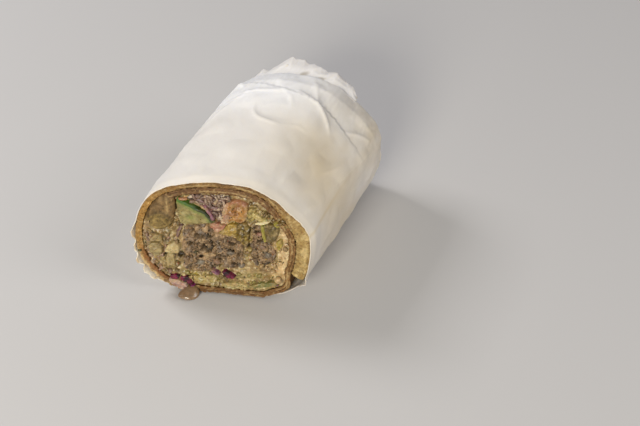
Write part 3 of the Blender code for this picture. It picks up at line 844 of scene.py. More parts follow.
SPIRAL_STEP = 0.55
ACROSS = [i / 13 for i in range(14)]
BREAD_DEPTHS = (0.9, 2.0, 6.0, 20.0, 40.0, 60.0, 80.0, BREAD_END)
BROWN_LINE = 0.42  # share of the layer's thickness at which it splits, the split painted dark as shade, and at which a painted highlight runs along the lit edge
PALE_LINE = 0.60


def bread_tone(degrees):
    """The crumb and skin colours of the flatbread's cut at this angle along the spiral."""
    for (a, crumb_a, skin_a), (b, crumb_b, skin_b) in zip(BREAD_TONES, BREAD_TONES[1:]):
        if degrees <= b:
            break
    share = (degrees - a) / (b - a)
    crumb = mix(rgb(*crumb_a), rgb(*crumb_b), share)
    return crumb, mix(mix(rgb(*skin_a), rgb(*skin_b), share), crumb, 0.3)


def about(degrees, middle, spread, hold=1.4):
    """1 around this angle along the spiral, falling to 0 on both sides of it."""
    return smooth(hold - abs(degrees - middle) / spread)


def crumb_line(degrees, share, thick, at, width):
    """A thin wandering line along the layer: 1 on it, falling off over its width."""
    off = (share - at - 0.12 * fbm((degrees * 0.05, 3.0, 1.0), 2)) * thick
    return math.exp(-(off / width) ** 2)


def bread_lines(degrees, share, thick, off_tail, off_left):
    """The split of the layer here, painted dark as shade, and the painted highlight along its lit edge, each
    from 0 to 1.
    """
    split = crumb_line(degrees, share, thick, BROWN_LINE, 0.22)
    split *= off_tail * smooth(fbm((degrees * 0.045, 9.0, 2.0), 2) * 3 + 0.8) * off_left
    pale = crumb_line(degrees, share, thick, PALE_LINE, 0.2)
    pale *= off_tail * smooth(fbm((degrees * 0.06, 19.0, 2.0), 2) * 3 + 0.5) * off_left
    return split, pale


def bread_face(degrees, share, thick, u, v):
    """How deep the bread's crumb lies here, and its colour."""
    tail = smooth((thick - 2.6) / 2.0)
    left = about(degrees, 172, 50)
    streaks = 0.7 * fbm((degrees * 0.3, share * 1.6, 4.0), 5)
    grain = streaks * (1 - tail) + 0.6 * noise_at(u, v, 1.3, 4.0, 4) * (0.35 + 0.65 * tail)
    holes = smooth((noise_at(u, v, 1.3, 14.0) - 0.26) / 0.12)
    split, pale = bread_lines(degrees, share, thick, 1 - tail, 1 - left)
    flakes = fbm((degrees * 0.3, share * 3.0, 1.0), 3)
    edge = min(share, 1 - share) * thick
    depth = 0.1 + 0.55 * grain + 0.4 * flakes * (1 - 0.6 * tail) + 0.4 * holes + 0.8 * split
    depth += 0.25 * smooth(1 - edge / 0.4)
    toasted = toast(degrees, share, smooth(1 - edge / 0.7))
    low_left = about(degrees, 213, 24)
    blotches = fbm((u * 0.4, v * 0.25, 24.0), 4) * 2.4
    crumb, skin = bread_tone(degrees)
    tone = mix(crumb, rgb(200, 172, 118), 0.5 * smooth(grain * 2.0 - 0.1))
    return depth, painted(
        mix(tone, skin, toasted),
        ((204, 178, 130), 0.75 * low_left * smooth((0.5 - share) / 0.15)),
        ((128, 78, 34), 0.75 * low_left * smooth((share - 0.62) / 0.1)),
        ((96, 62, 30), smooth(-grain * 2.0 - 0.4) * 0.6),
        # painted shade in the pores, which also lie deeper
        ((104, 72, 34), 0.8 * holes * (1 - 0.7 * left)),
        ((140, 110, 56), 0.6 * tail * smooth(blotches)),
        ((200, 176, 124), 0.6 * tail * smooth(-blotches - 0.1)),
        # painted highlight along the split's lit edge, then painted shade in the split
        ((204, 178, 126), 0.55 * pale),
        ((70, 42, 20), 0.6 * split))


def toast(degrees, share, on_skin):
    """How strongly the skin's colour shows here, less where the sheet lies beside the lobe."""
    baked = 0.5 + 0.8 * fbm((degrees * 0.04, 7.0, share * 1.2), 3)
    beside_lobe = about(degrees, 175, 75, 1.3) * smooth((share - 0.3) / 0.1)
    patchy = smooth(0.55 + 1.8 * fbm((degrees * 0.2, share * 1.5, 33.0), 3))
    return 0.65 * patchy * on_skin * (0.35 + baked) * (1 - 0.8 * beside_lobe)


def bread_row(degrees):
    """Points and tints round the sheet at one angle: across the cut, back inside, and forward outside."""
    middle, thick = bread_layer(max(degrees, TAIL_ANGLE))
    cap = 1.0
    if degrees < TAIL_ANGLE:
        cap = min(1.0, math.sqrt(max(1 - ((TAIL_ANGLE - degrees) / TAIL_CAP) ** 2, 0.0)))
    t = math.radians(degrees)
    ring = (math.cos(t) * 6, math.sin(t) * 6)
    wander = 0.35 * fbm((ring[0] * 0.8, ring[1] * 0.8, degrees * 0.02), 4)
    ragged = 0.38 * fbm((ring[0] * 3, ring[1] * 3, 4.0 + degrees * 0.02), 4)
    points, tints = [], []
    for share in ACROSS:
        inset = middle + (thick + 0.6) * (share - 0.5) * cap
        inset += wander * math.sin(math.pi * share) + ragged * (1 if share < 0.1 else 0.3)
        u, v = oval(degrees, max(inset, 0.0))
        depth, tone = bread_face(degrees, share, thick, u, v)
        points.append(place(u, v, depth))
        tints.append(tone)
    crumb, skin = bread_tone(degrees)
    inner = oval(degrees, middle + thick * 0.485 * cap)
    for back in BREAD_DEPTHS:
        points.append(place(*inner, back))
        tints.append(mix(skin, crumb, 0.4))
    outer = oval(degrees, max(middle - thick * 0.485 * cap, 0.0))
    for back in reversed(BREAD_DEPTHS):
        points.append(place(*outer, back))
        tints.append(mix(skin, crumb, 0.3 + 0.5 * fbm((degrees * 0.05, back * 0.05, 2.0), 2)))
    return points, tints


def make_flatbread():
    """The spiral sheet: a crumbly cut face and browned skins."""
    path = [TAIL_ANGLE - TAIL_ROUND + TAIL_ROUND * i / TAIL_ROUND_STEPS for i in range(TAIL_ROUND_STEPS)]
    count = int((INNER_END_ANGLE - TAIL_ANGLE) / SPIRAL_STEP)
    path += [TAIL_ANGLE + (INNER_END_ANGLE - TAIL_ANGLE) * i / count for i in range(count + 1)]
    points, tints = [], []
    for degrees in path:
        row_points, row_tints = bread_row(degrees)
        points += row_points
        tints += row_tints
    columns = len(ACROSS) + 2 * len(BREAD_DEPTHS)
    faces = lattice_faces(len(path), columns, True)
    faces.append(tuple(range(columns)))
    faces.append(tuple((len(path) - 1) * columns + i for i in range(columns)))
    material = food_material("baked_flatbread")
    bread = add_mesh("bread_spiral", points, faces, material, tints)
    face_outward(bread)
    settle(bread, "flatbread", "flatbread")
    make_lobe(material)


# The lobe's outline on the cut, the ball of dough low in it, and the curl of the roll
LOBE = [(-33.5, 44.6), (-31.6, 47.8), (-28.6, 49.4), (-24.7, 49.4), (-22.0, 47.2), (-21.3, 43.5),
        (-21.5, 39.5), (-21.7, 36.4), (-23.7, 33.2), (-26.7, 31.0), (-30.1, 31.2), (-33.1, 34.2),
        (-34.5, 38.0), (-34.5, 41.8)]
LOBE_CENTRE = (-27.7, 39.5)
LOBE_LENGTH = 33.0
BALL_CENTRE = (-27.3, 36.0)
BALL_RADII = (5.0, 4.4)
CURL = [(-34.1, 36.6), (-33.1, 34.6), (-31.1, 36.0), (-29.1, 38.4), (-25.9, 38.8), (-23.9, 36.9),
        (-23.0, 34.6)]
CURL_LINE = np.array(curve_through(CURL, 8, closed=False))
CURL_OPENS = -31.0  # left of this the curl is an open groove


def pulled_inside(point, centre, outline):
    """The point itself, or where the line from the centre to it leaves the outline."""
    for step in range(40):
        tried = towards(centre, point, 1 - step / 40)
        if inside(tried, outline):
            return tried
    return centre


def curl_at(u, v, width):
    """How near the curl's line this place lies: 1 on it."""
    gap = np.sqrt(((CURL_LINE - np.array((u, v))) ** 2).sum(1)).min()
    return math.exp(-(gap / width) ** 2)


def lobe_depth(u, v, share):
    groove = (1.3 if u < CURL_OPENS else 0.5) * curl_at(u, v, 0.5)
    ball = in_patch(u, v, BALL_CENTRE, BALL_RADII, 0)
    return 1.5 * share ** 8 - 0.4 + groove + 0.45 * noise_at(u, v, 0.7, 8.0, 4) - 1.1 * ball


def lobe_tint(u, v, share):
    """Dark dough with painted shade in its dips, a paler ball with a painted highlight on its lower rim and
    painted shade on its upper rim, a painted highlight in a line at the right, and painted shade in the
    curl's groove.
    """
    broad = 0.5 + 1.2 * noise_at(u, v, 0.4, 3.0)
    ball = in_patch(u, v, BALL_CENTRE, BALL_RADII, 0)
    rim = math.exp(-((ball - 0.55) / 0.3) ** 2)
    ridge = math.exp(-((u + 24.2 + 0.06 * (v - 43)) / 0.45) ** 2)
    ridge = ridge * smooth((v - 39) / 2) * smooth((48 - v) / 2)
    tone = mix(rgb(100, 76, 42), rgb(132, 104, 64), broad)
    return painted(
        mix(tone, mix(rgb(108, 88, 42), rgb(142, 118, 66), broad), ball),
        # painted highlight on the ball's lower rim, painted shade on its upper rim, painted highlight in a
        # line at the right
        ((184, 160, 110), 0.8 * rim * smooth((35.5 - v) / 2.5)),
        ((70, 50, 24), 0.6 * rim * smooth((v - 36.5) / 2.0)),
        ((172, 146, 98), 0.7 * ridge),
        # painted shade where the dough lies deeper, then in the curl's groove
        ((70, 50, 26), 0.6 * smooth(noise_at(u, v, 0.7, 8.0, 4) * 2.2 - 0.4)),
        ((50, 32, 12), (0.9 if u < CURL_OPENS else 0.3) * curl_at(u, v, 0.45)))


def make_lobe(material):
    """The rolled inner end of the flatbread, with the curl of the roll pressed into its cut."""
    bound = [oval(i * 2.0, BREAD_THICKNESS + 0.25) for i in range(180)]
    outline = [pulled_inside(p, LOBE_CENTRE, bound) for p in curve_through(LOBE, 9)]
    lobe = relief_body(
        "bread_lobe", outline, LOBE_CENTRE, 34, lobe_depth, lobe_tint, LOBE_LENGTH, 0.8, material)
    settle(lobe, "flatbread")


# The filling

MEAT_CORE = [(-17, 33.5), (-12.5, 35), (-8, 35), (-5.5, 33.6), (-3, 32.2), (1.5, 31.6), (4, 30), (6.2, 28),
             (7.6, 25.5), (7.2, 22), (7.8, 18), (6.5, 15.2), (3.8, 14.8), (-1.5, 14.9), (-4.5, 13.2),
             (-8, 12.3), (-12, 11.4), (-15.5, 11.8), (-17.3, 14), (-16.8, 18), (-17.6, 22), (-17.8, 26),
             (-17.2, 30)]
MEAT_SIDE = [(11.8, 37.6), (14.2, 37.8), (15.6, 35), (16, 31), (19, 28.4), (21.3, 26), (21.2, 22),
             (19.8, 18.5), (16.5, 17.3), (13, 18.8), (10.9, 21), (11.2, 25), (11.2, 28), (11.9, 32)]
SHREDS = [(-15.5, 48.8), (-10, 50), (-4, 50.4), (1.2, 50), (0.6, 48.2), (-0.9, 46), (-1, 42.5),
          (-2.2, 39.8), (-3.9, 40.2), (-5.2, 43), (-7.4, 45.2), (-11, 46), (-14, 47.6)]
# Parts of the cut that the sauce itself shows: centre, radii, turn, colour, strength, how much deeper; the
# darkest and deepest are openings between the pieces in painted shade
PATCHES = (
    ((-32.6, 27.0), (3.0, 3.2), 0, (140, 114, 84), 0.8, 0.1),
    ((-34.1, 31.5), (1.6, 2.2), 0, (158, 130, 92), 0.8, 0.2),
    ((-30.9, 30.0), (1.5, 1.0), 30, (178, 158, 124), 0.8, -0.2),
    ((-27.5, 26.8), (1.9, 1.7), 0, (128, 112, 88), 0.9, 0),
    ((-24.5, 26.8), (0.9, 1.9), -10, (84, 70, 62), 0.85, 0.7),
    ((-26.8, 24.9), (2.2, 0.7), 0, (150, 132, 92), 0.7, 0),
    ((-33.3, 21.5), (1.8, 2.6), 15, (140, 116, 84), 0.8, 0.2),
    ((-32.3, 16.2), (1.9, 3.6), 24, (150, 126, 104), 0.9, 0),
    ((-30.1, 11.0), (2.0, 3.2), 38, (152, 128, 104), 0.85, 0.1),
    ((-26.9, 7.2), (2.6, 1.6), -30, (140, 116, 90), 0.8, 0),
    ((-29.9, 14.6), (0.8, 1.8), 30, (112, 92, 78), 0.7, 0.4),
    ((-25.1, 17.6), (1.0, 2.6), -8, (70, 50, 8), 0.95, 1.8),
    ((-19.3, 18.8), (1.7, 1.5), 35, (64, 44, 4), 0.95, 1.9),
    ((-22.7, 17.0), (1.3, 3.0), 5, (146, 124, 74), 0.8, -0.3),
    ((-27.1, 12.4), (2.2, 2.0), 0, (142, 122, 84), 0.7, 0.2),
    ((-23.5, 13.2), (0.8, 0.6), 0, (40, 30, 26), 0.8, 0.3),
    ((-21.3, 12.2), (3.0, 1.9), 0, (150, 132, 88), 0.7, -0.1),
    ((-18.1, 10.4), (2.4, 1.3), 0, (162, 142, 94), 0.7, 0),
    ((-19.7, 33.4), (1.5, 3.2), -14, (110, 88, 44), 0.9, 0.7),
    ((-22.0, 29.4), (1.6, 2.6), 0, (126, 102, 54), 0.8, 0.4),
    ((-21.5, 44.6), (0.7, 3.4), 0, (58, 44, 16), 0.95, 1.8),
    ((-16.9, 36.0), (1.8, 0.8), 10, (86, 66, 30), 0.8, 0.9),
    ((-19.7, 49.0), (2.0, 0.9), -10, (60, 44, 22), 0.7, 0.9),
    ((-2.5, 38.8), (1.8, 0.9), -30, (44, 12, 10), 0.9, 1.4),
    ((5.5, 38.9), (2.4, 1.6), 10, (84, 64, 22), 0.9, 0.9),
    ((11.1, 38.6), (1.6, 1.6), 0, (112, 88, 36), 0.8, 0.6),
    ((13.3, 41.2), (1.4, 0.9), 30, (28, 18, 6), 0.9, 1.8),
    ((15.6, 36.0), (0.7, 2.6), 20, (30, 22, 6), 0.85, 1.4),
    ((20.3, 43.4), (3.0, 1.2), -42, (134, 102, 62), 0.6, 0),
    ((22.6, 39.6), (1.2, 1.1), 0, (140, 136, 34), 0.85, -0.4),
    ((25.1, 33.0), (1.5, 2.6), 0, (176, 152, 112), 0.8, -0.2),
    ((23.5, 29.2), (1.1, 1.4), 0, (168, 150, 60), 0.8, -0.3),
    ((10.5, 26.3), (1.5, 1.4), 0, (26, 16, 4), 0.95, 1.9),
    ((9.9, 22.0), (1.6, 2.6), 0, (158, 138, 78), 0.85, -0.1),
    ((25.4, 24.5), (2.2, 4.6), 8, (176, 150, 112), 0.85, -0.2),
    ((24.7, 17.0), (2.6, 3.6), 5, (192, 164, 120), 0.85, -0.4),
    ((21.3, 14.2), (2.6, 3.0), 15, (166, 136, 92), 0.7, 0),
    ((12.3, 17.2), (3.8, 3.0), 0, (152, 124, 76), 0.8, 0),
    ((16.9, 14.8), (2.6, 1.9), 20, (122, 94, 56), 0.8, 0.3),
    ((12.9, 12.6), (3.4, 1.6), 0, (160, 136, 92), 0.7, 0),
    ((8.7, 11.6), (2.6, 2.2), 0, (176, 156, 108), 0.7, -0.2),
    ((26.9, 30.0), (1.1, 4.0), 10, (140, 112, 74), 0.7, 0.2),
    ((-8.7, 9.6), (3.4, 1.2), 0, (158, 140, 88), 0.7, 0),
    ((-12.7, 9.4), (1.5, 0.9), 10, (150, 132, 40), 0.7, -0.2),
    ((-4.7, 11.0), (3.4, 1.0), -6, (120, 100, 60), 0.6, 0.4),
    ((-9.7, 5.6), (3.4, 1.3), -6, (164, 142, 98), 0.7, 0),
    ((-3.1, 5.2), (2.8, 1.4), 0, (146, 128, 82), 0.6, 0),
    ((5.3, 9.2), (2.4, 0.9), -12, (160, 150, 96), 0.7, 0),
    ((15.5, 6.0), (3.0, 1.1), 14, (188, 172, 122), 0.8, -0.3),
    ((10.5, 9.4), (2.8, 0.9), 0, (168, 148, 96), 0.6, 0),
    ((26.1, 12.0), (1.2, 3.2), 0, (150, 118, 76), 0.7, 0.3),
    ((-19.5, 3.8), (3.4, 1.5), -8, (172, 140, 124), 0.9, -0.4),
    ((3.5, 4.6), (2.4, 0.8), 0, (138, 130, 80), 0.6, 0),
    ((-15.1, 13.0), (1.6, 1.6), 0, (136, 112, 70), 0.6, 0.2),
)

# How deep the sauce lies under the meat and under the lobe, so that they show in front of it
UNDER_MEAT = 4.0
UNDER_LOBE = 2.2
UNDER_LOBE_RADII = (5.4, 7.6)
HOLLOW_DEPTH = 1.3  # a patch deeper than this is an opening between the pieces, painted dark as shade
SALAD_CRUMB = 3.0  # size of the chopped pieces that stand out of the sauce


def in_patch(u, v, centre, radii, turn):
    """1 inside the patch, falling to 0 just outside it."""
    du, dv = u - centre[0], v - centre[1]
    c, s = math.cos(math.radians(turn)), math.sin(math.radians(turn))
    away = math.hypot((du * c + dv * s) / radii[0], (dv * c - du * s) / radii[1])
    return smooth((1.35 - away) / 0.6) if away < 1.35 else 0.0


def creamy_at(u, v):
    """1 where the sauce is smooth, at the lower right."""
    below = smooth((u - 6) / 5) * smooth((20 - v) / 4)
    beside = smooth((u - 21) / 2) * smooth((38 - v) / 5)
    return max(below, beside) * smooth((v - 6) / 4)


def in_hollow(u, v):
    """How far inside one of the openings between the pieces, painted dark as shade, this place lies, from 0
    to 1.
    """
    return max(in_patch(u, v, *patch[:3]) for patch in PATCHES if patch[5] > HOLLOW_DEPTH)


def chopped_at(u, v):
    """How much the sauce is full of chopped salad here."""
    return smooth(noise_at(u, v, 0.2, 70.0) * 2.5 + 0.6) * (1 - 0.9 * creamy_at(u, v))


def sauce_depth(u, v, share=0.0):
    """How far behind the cut the sauce lies here."""
    rise, border, draw = crumbs_at(u, v, SALAD_CRUMB, 3.0)
    lumpy = 0.9 * rise * border * chopped_at(u, v) * (0.3 + draw)
    depth = 1.1 + 0.6 * noise_at(u, v, 0.17, 1.0) + 0.3 * noise_at(u, v, 0.9, 2.0, 4) - lumpy
    for centre, radii, turn, _, _, deeper in PATCHES:
        if deeper:
            depth += deeper * in_patch(u, v, centre, radii, turn)
    under_meat = inside((u, v), MEAT_CORE) or inside((u, v), MEAT_SIDE)
    depth += UNDER_LOBE * in_patch(u, v, LOBE_CENTRE, UNDER_LOBE_RADII, 0)
    return depth + (UNDER_MEAT if under_meat else 0.0)


def sauce_tint(u, v, share=0.0):
    """Mottled tan with the patches over it, painted shade between the chopped pieces and in the hollows."""
    creamy, chopped = creamy_at(u, v), chopped_at(u, v)
    tone = painted(
        mix(rgb(132, 106, 64), rgb(166, 139, 91), 0.5 + 0.9 * noise_at(u, v, 0.15, 9.0, 4)),
        ((142, 128, 72), smooth((noise_at(u, v, 0.22, 20.0) + 0.02) / 0.3) * 0.45))
    wavy = (u + 0.8 * noise_at(u, v, 0.5, 40.0), v + 0.8 * noise_at(u, v, 0.5, 50.0))
    for centre, radii, turn, colour, strength, _ in PATCHES:
        inner = in_patch(*wavy, centre, radii, turn)
        if inner:
            tone = mix(tone, rgb(*colour), inner * strength)
    _, border, draw = crumbs_at(u, v, SALAD_CRUMB, 3.0)
    streak = noise_at(u, v, 0.55, 31.0, 4)
    tone = mix(tone, scaled(tone, 0.7 + 0.7 * draw), 0.8 * chopped)
    # painted shade between the chopped pieces
    tone = mix(tone, scaled(tone, 0.5), (1 - border) * chopped * 0.55)
    tone = mix(tone, scaled(tone, 0.55), smooth(-streak * 2.4 - 0.3) * 0.7 * (1 - 0.8 * creamy))
    return painted(
        tone,
        ((214, 184, 136), 0.5 * creamy * smooth((u - 19) / 3)),
        ((220, 200, 158), smooth(streak * 2.2 - 0.25) * 0.6),
        # painted shade in the hollows
        ((46, 32, 6), 0.95 * in_hollow(*wavy)))


def make_sauce():
    """The sauce between the pieces: one surface over the cut, closed by a body behind it."""
    outline = [filling_edge(i * 0.75) for i in range(480)]
    sauce = relief_body("sauce_and_salad", outline, FILLING_CENTRE, 78, sauce_depth, sauce_tint, THROUGH, 1.0,
                        food_material("creamy_sauce"))
    settle(sauce, "sauce", "filling")


# Tones of the chopped meat, and how common each is
MEAT_TONES = (((142, 114, 80), 7), ((127, 101, 71), 6), ((158, 129, 93), 5), ((108, 86, 59), 3),
              ((130, 113, 96), 4), ((178, 148, 110), 1.5), ((160, 112, 72), 0.4), ((66, 60, 32), 0.6))
# Where the meat opens into gaps, painted dark as shade: centre, radius
MEAT_GAPS = (((-10.9, 29.6), 1.7), ((-8.5, 23.4), 1.6), ((-6.6, 22.6), 1.1), ((4.1, 27.4), 1.1),
             ((3.5, 17.6), 1.1), ((9.9, 26.5), 1.5), ((-13.7, 32.6), 0.7), ((-2.3, 20.6), 0.9),
             ((14.3, 30.0), 1.0), ((5.9, 20.8), 0.8))
# The larger smooth bits in it: centre, radius, colour
MEAT_BITS = (((-10.1, 16.4), 1.7, (128, 116, 98)), ((-3.3, 17.4), 1.5, (134, 104, 80)),
             ((-1.7, 14.6), 1.9, (120, 110, 96)), ((4.5, 14.6), 1.9, (130, 112, 88)),
             ((7.1, 16.6), 1.5, (116, 104, 88)), ((-7.7, 20.2), 1.6, (178, 148, 106)),
             ((-5.1, 20.8), 1.3, (168, 138, 100)), ((-14.5, 28.0), 1.7, (142, 118, 92)),
             ((-15.1, 22.4), 1.4, (134, 116, 98)), ((-3.7, 30.0), 1.5, (146, 120, 90)),
             ((2.5, 22.6), 1.5, (122, 108, 90)), ((-12.7, 12.8), 1.4, (160, 132, 96)),
             ((17.9, 23.6), 1.8, (118, 106, 90)), ((14.1, 33.4), 1.2, (150, 112, 92)),
             ((15.5, 27.4), 1.4, (132, 106, 84)), ((20.1, 25.6), 1.3, (144, 112, 84)),
             ((-3.1, 17.2), 0.6, (188, 122, 60)), ((-2.7, 24.4), 0.5, (176, 156, 40)),
             ((17.5, 21.2), 0.6, (190, 150, 70)), ((0.3, 27.0), 1.3, (150, 122, 92)),
             ((-8.5, 33.0), 1.2, (150, 124, 94)))


def tone_for(tones, draw):
    """The tone that a draw from 0 to 1 falls on, by weight."""
    at = draw * sum(weight for _, weight in tones)
    for tone, weight in tones:
        at -= weight
        if at <= 0:
            break
    return rgb(*tone)


def pick(tones, rng):
    """One of the tones, by weight, with a little variation."""
    tone = tone_for(tones, rng.random())
    return scaled(tone, rng.uniform(0.8, 1.2))


def in_gap(u, v):
    """How far inside one of the openings in the meat, painted dark as shade, this place lies, from 0 to 1."""
    at = (u + 1.3 * noise_at(u, v, 0.6, 21.0), v + 1.3 * noise_at(u, v, 0.6, 22.0))
    listed = max(smooth(1.5 - math.dist(at, centre) / radius) for centre, radius in MEAT_GAPS)
    return max(listed, 0.9 * smooth((noise_at(u, v, 0.25, 23.0) - 0.3) / 0.05))


def meat_crumbs(u, v):
    """The coarse and the fine crumb of chopped meat at this point."""
    return crumbs_at(u, v, 2.7, 0.4), crumbs_at(u, v, 1.2, 6.4)


def meat_depth(u, v, share):
    (rise, border, draw), (fine, fine_border, _) = meat_crumbs(u, v)
    crumbs = 1.1 * rise * border * (0.4 + draw)
    depth = 0.8 - crumbs - 0.3 * fine * fine_border + 0.6 * noise_at(u, v, 0.2, 3.0)
    return depth + 0.45 * noise_at(u, v, 1.5, 5.0, 4) + 2.4 * in_gap(u, v)


def meat_tint(u, v, share):
    """Each crumb in a tone of its own, with painted shade between them and in the gaps."""
    (_, border, draw), (_, fine_border, fine_draw) = meat_crumbs(u, v)
    broad = noise_at(u, v, 0.2, 8.0)
    return painted(
        mix(tone_for(MEAT_TONES, draw), tone_for(MEAT_TONES, fine_draw), 0.4),
        # painted shade between the crumbs
        ((56, 42, 24), 0.6 * (1 - border) + 0.25 * (1 - fine_border)),
        ((182, 152, 116), 0.5 * smooth(broad * 2.4)),
        ((88, 68, 44), 0.5 * smooth(-broad * 2.4)),
        # painted shade in the gaps
        ((24, 20, 8), 0.95 * in_gap(u, v)))


def meat_lumps(curve, count, rng):
    """Larger loose crumbs that stand out of the meat, and its smooth bits."""
    lumps = Lumps(2)
    for u, v in scattered(curve, count, 2.3, rng):
        size = rng.uniform(0.8, 2.0)
        near = ((u, v), (u + size, v), (u - size, v), (u, v + size), (u, v - size))
        gap = max(in_gap(*point) for point in near)
        if gap > 0.4:
            continue
        radii = rough_radii(size, rng, (0.8, 1.35), (0.5, 0.8), (0.7, 1.1))
        centre = place(u, v, rng.uniform(0.1, 0.8) + 0.5 * size + gap)
        lumps.add(centre, radii, random_turn(rng), pick(MEAT_TONES, rng), 0.75, rng.uniform(0, 50), 2.0)
    for (u, v), radius, tone in MEAT_BITS:
        if inside((u, v), curve):
            turn = Matrix.Rotation(rng.uniform(-0.6, 0.6), 3, "Y")
            radii = (radius * 1.15, radius * 0.75, radius * 0.75)
            lumps.add(place(u, v, 0.45), radii, turn, rgb(*tone), 0.5, rng.uniform(0, 50), 1.3)
    return lumps


def meat_fines(curve, count, rng):
    """Fine loose crumbs on the meat."""
    small = Lumps(1)
    for u, v in scattered(curve, count, 1.4, rng):
        gap = in_gap(u, v)
        if gap > 0.3:
            continue
        size = rng.uniform(0.25, 0.55)
        radii = (*rough_radii(size, rng, (0.8, 1.6), (0.6, 1.0)), size)
        centre = place(u, v, rng.uniform(-0.5, 0.3) + 1.8 * gap)
        small.add(centre, radii, random_turn(rng), pick(MEAT_TONES, rng), 0.35, rng.uniform(0, 50), 1.6)
    return small


def make_meat(name, outline, centre, counts, rng, material, node):
    """Chopped meat: a mass of crumbs pressed together, larger and finer loose ones standing out of it."""
    curve = curve_through(outline, 9)
    mass = relief_body(name, curve, centre, 44, meat_depth, meat_tint, MEAT_BACK, 0.98, material)
    settle(mass, "meat", node)
    settle(meat_lumps(curve, counts[0], rng).piece(name + "_lumps", material), "meat")
    settle(meat_fines(curve, counts[1], rng).piece(name + "_fine", material), "meat")


# Tones of the pulled meat, and how common each is
SHRED_TONES = (((150, 122, 100), 5), ((128, 100, 84), 5), ((178, 152, 128), 4), ((136, 106, 100), 3),
               ((92, 66, 54), 2), ((204, 184, 160), 1))
SHREDS_TOP = 50.6  # the bread lies above this
SHREDS_CENTRE = (-6.4, 47.2)
ROUTE_STEPS = 8


def strand(points, tints, faces, route, width, flat, tint, seed, sides=8):
    """Adds a rough strand along a route of points in metres; width in millimetres. Its dips get painted
    shade.
    """
    first = len(points)
    count = len(route)
    for i, p in enumerate(route):
        ahead = (route[min(i + 1, count - 1)] - route[max(i - 1, 0)]).normalized()
        side = ahead.cross(Vector((0, -1, 0.15))).normalized()
        up = side.cross(ahead).normalized()
        taper = math.sin(math.pi * (0.08 + 0.84 * i / (count - 1))) ** 0.5
        for k in range(sides):
            t = math.tau * k / sides
            rough = 1 + 0.5 * fbm((seed + i * 0.6, math.cos(t), math.sin(t)), 2)
            around = side * math.cos(t) * width + up * math.sin(t) * width * flat
            points.append(p + around * taper * rough * MM)
            # painted shade: darker where the strand's surface dips in
            tints.append(mix(tint, scaled(tint, 0.55), 1.4 - rough))
    faces += [tuple(first + i for i in face) for face in lattice_faces(count, sides, True)]
    faces.append(tuple(first + k for k in range(sides)))
    faces.append(tuple(first + (count - 1) * sides + k for k in range(sides)))


def shred_route(u, v, rng):
    """A bent route in metres for one strand of meat, steeper at the right."""
    heading = rng.gauss(-0.75 if u > -7 else -0.25, 0.7)
    length = rng.uniform(2.2, 5.2)
    bend = rng.uniform(-0.5, 0.5)
    depth = rng.uniform(-0.7, 0.9)
    route = []
    for k in range(ROUTE_STEPS):
        s = k / (ROUTE_STEPS - 1) - 0.5
        a = heading + bend * s * 2
        at = (u + math.cos(a) * s * length, min(v + math.sin(a) * s * length, SHREDS_TOP))
        route.append(place(*at, depth + 0.5 * s * s + rng.uniform(-0.12, 0.12)))
    return route


def shred_depth(u, v, share):
    rise, border, draw = crumbs_at(u * 0.7, v + 0.5 * u, 1.3, 2.2)
    return 0.9 - 0.8 * rise * border * (0.4 + draw) + 0.4 * noise_at(u, v, 0.4, 3.0)


def shred_tint(u, v, share):
    _, border, draw = crumbs_at(u * 0.7, v + 0.5 * u, 1.3, 2.2)
    # painted shade between the fibres
    return mix(tone_for(SHRED_TONES, draw), rgb(84, 60, 50), 0.6 * (1 - border))


def make_shreds(rng, material):
    """Pulled meat: short fibrous strands, bent and crossing, with crumbs between them."""
    curve = curve_through(SHREDS, 3)
    points, tints, faces = [], [], []
    for i, (u, v) in enumerate(scattered(curve, 60, 1.1, rng)):
        route = shred_route(u, v, rng)
        strand(points, tints, faces, route, rng.uniform(0.4, 0.85), 0.65, pick(SHRED_TONES, rng), i * 3.7)
    shreds = add_mesh("pulled_meat", points, faces, material, tints)
    face_outward(shreds)
    settle(shreds, "meat_shreds", "meat_shreds")
    crumbs = Lumps(2)
    for u, v in scattered(curve, 9, 2.4, rng):
        size = rng.uniform(0.5, 1.1)
        radii = (size * rng.uniform(0.8, 1.4), size * 0.8, size * rng.uniform(0.6, 1.0))
        centre = place(u, v, rng.uniform(-1.2, 0.3))
        crumbs.add(centre, radii, random_turn(rng), pick(SHRED_TONES, rng), 0.6, rng.uniform(0, 50), 1.6)
    settle(crumbs.piece("pulled_meat_crumbs", material), "meat_shreds")
    mass = relief_body(
        "pulled_meat_mass", curve_through(SHREDS, 6), SHREDS_CENTRE, 24, shred_depth, shred_tint, MEAT_BACK,
        0.98, material)
    settle(mass, "meat_shreds")


# The larger pieces of vegetable

SLAB_NECK = 1.6  # a piece narrows to its body at this depth
# The front's rings: share of the way to the outline, and how far each is rounded back
SLAB_RINGS = ((1.0, 0.8), (0.985, 0.34), (0.955, 0.12), (0.91, 0.03), (0.85, 0), (0.78, 0), (0.7, 0),
              (0.61, 0), (0.52, 0), (0.42, 0), (0.32, 0), (0.22, 0), (0.11, 0))
SAUCE_FILM = (166, 142, 96)


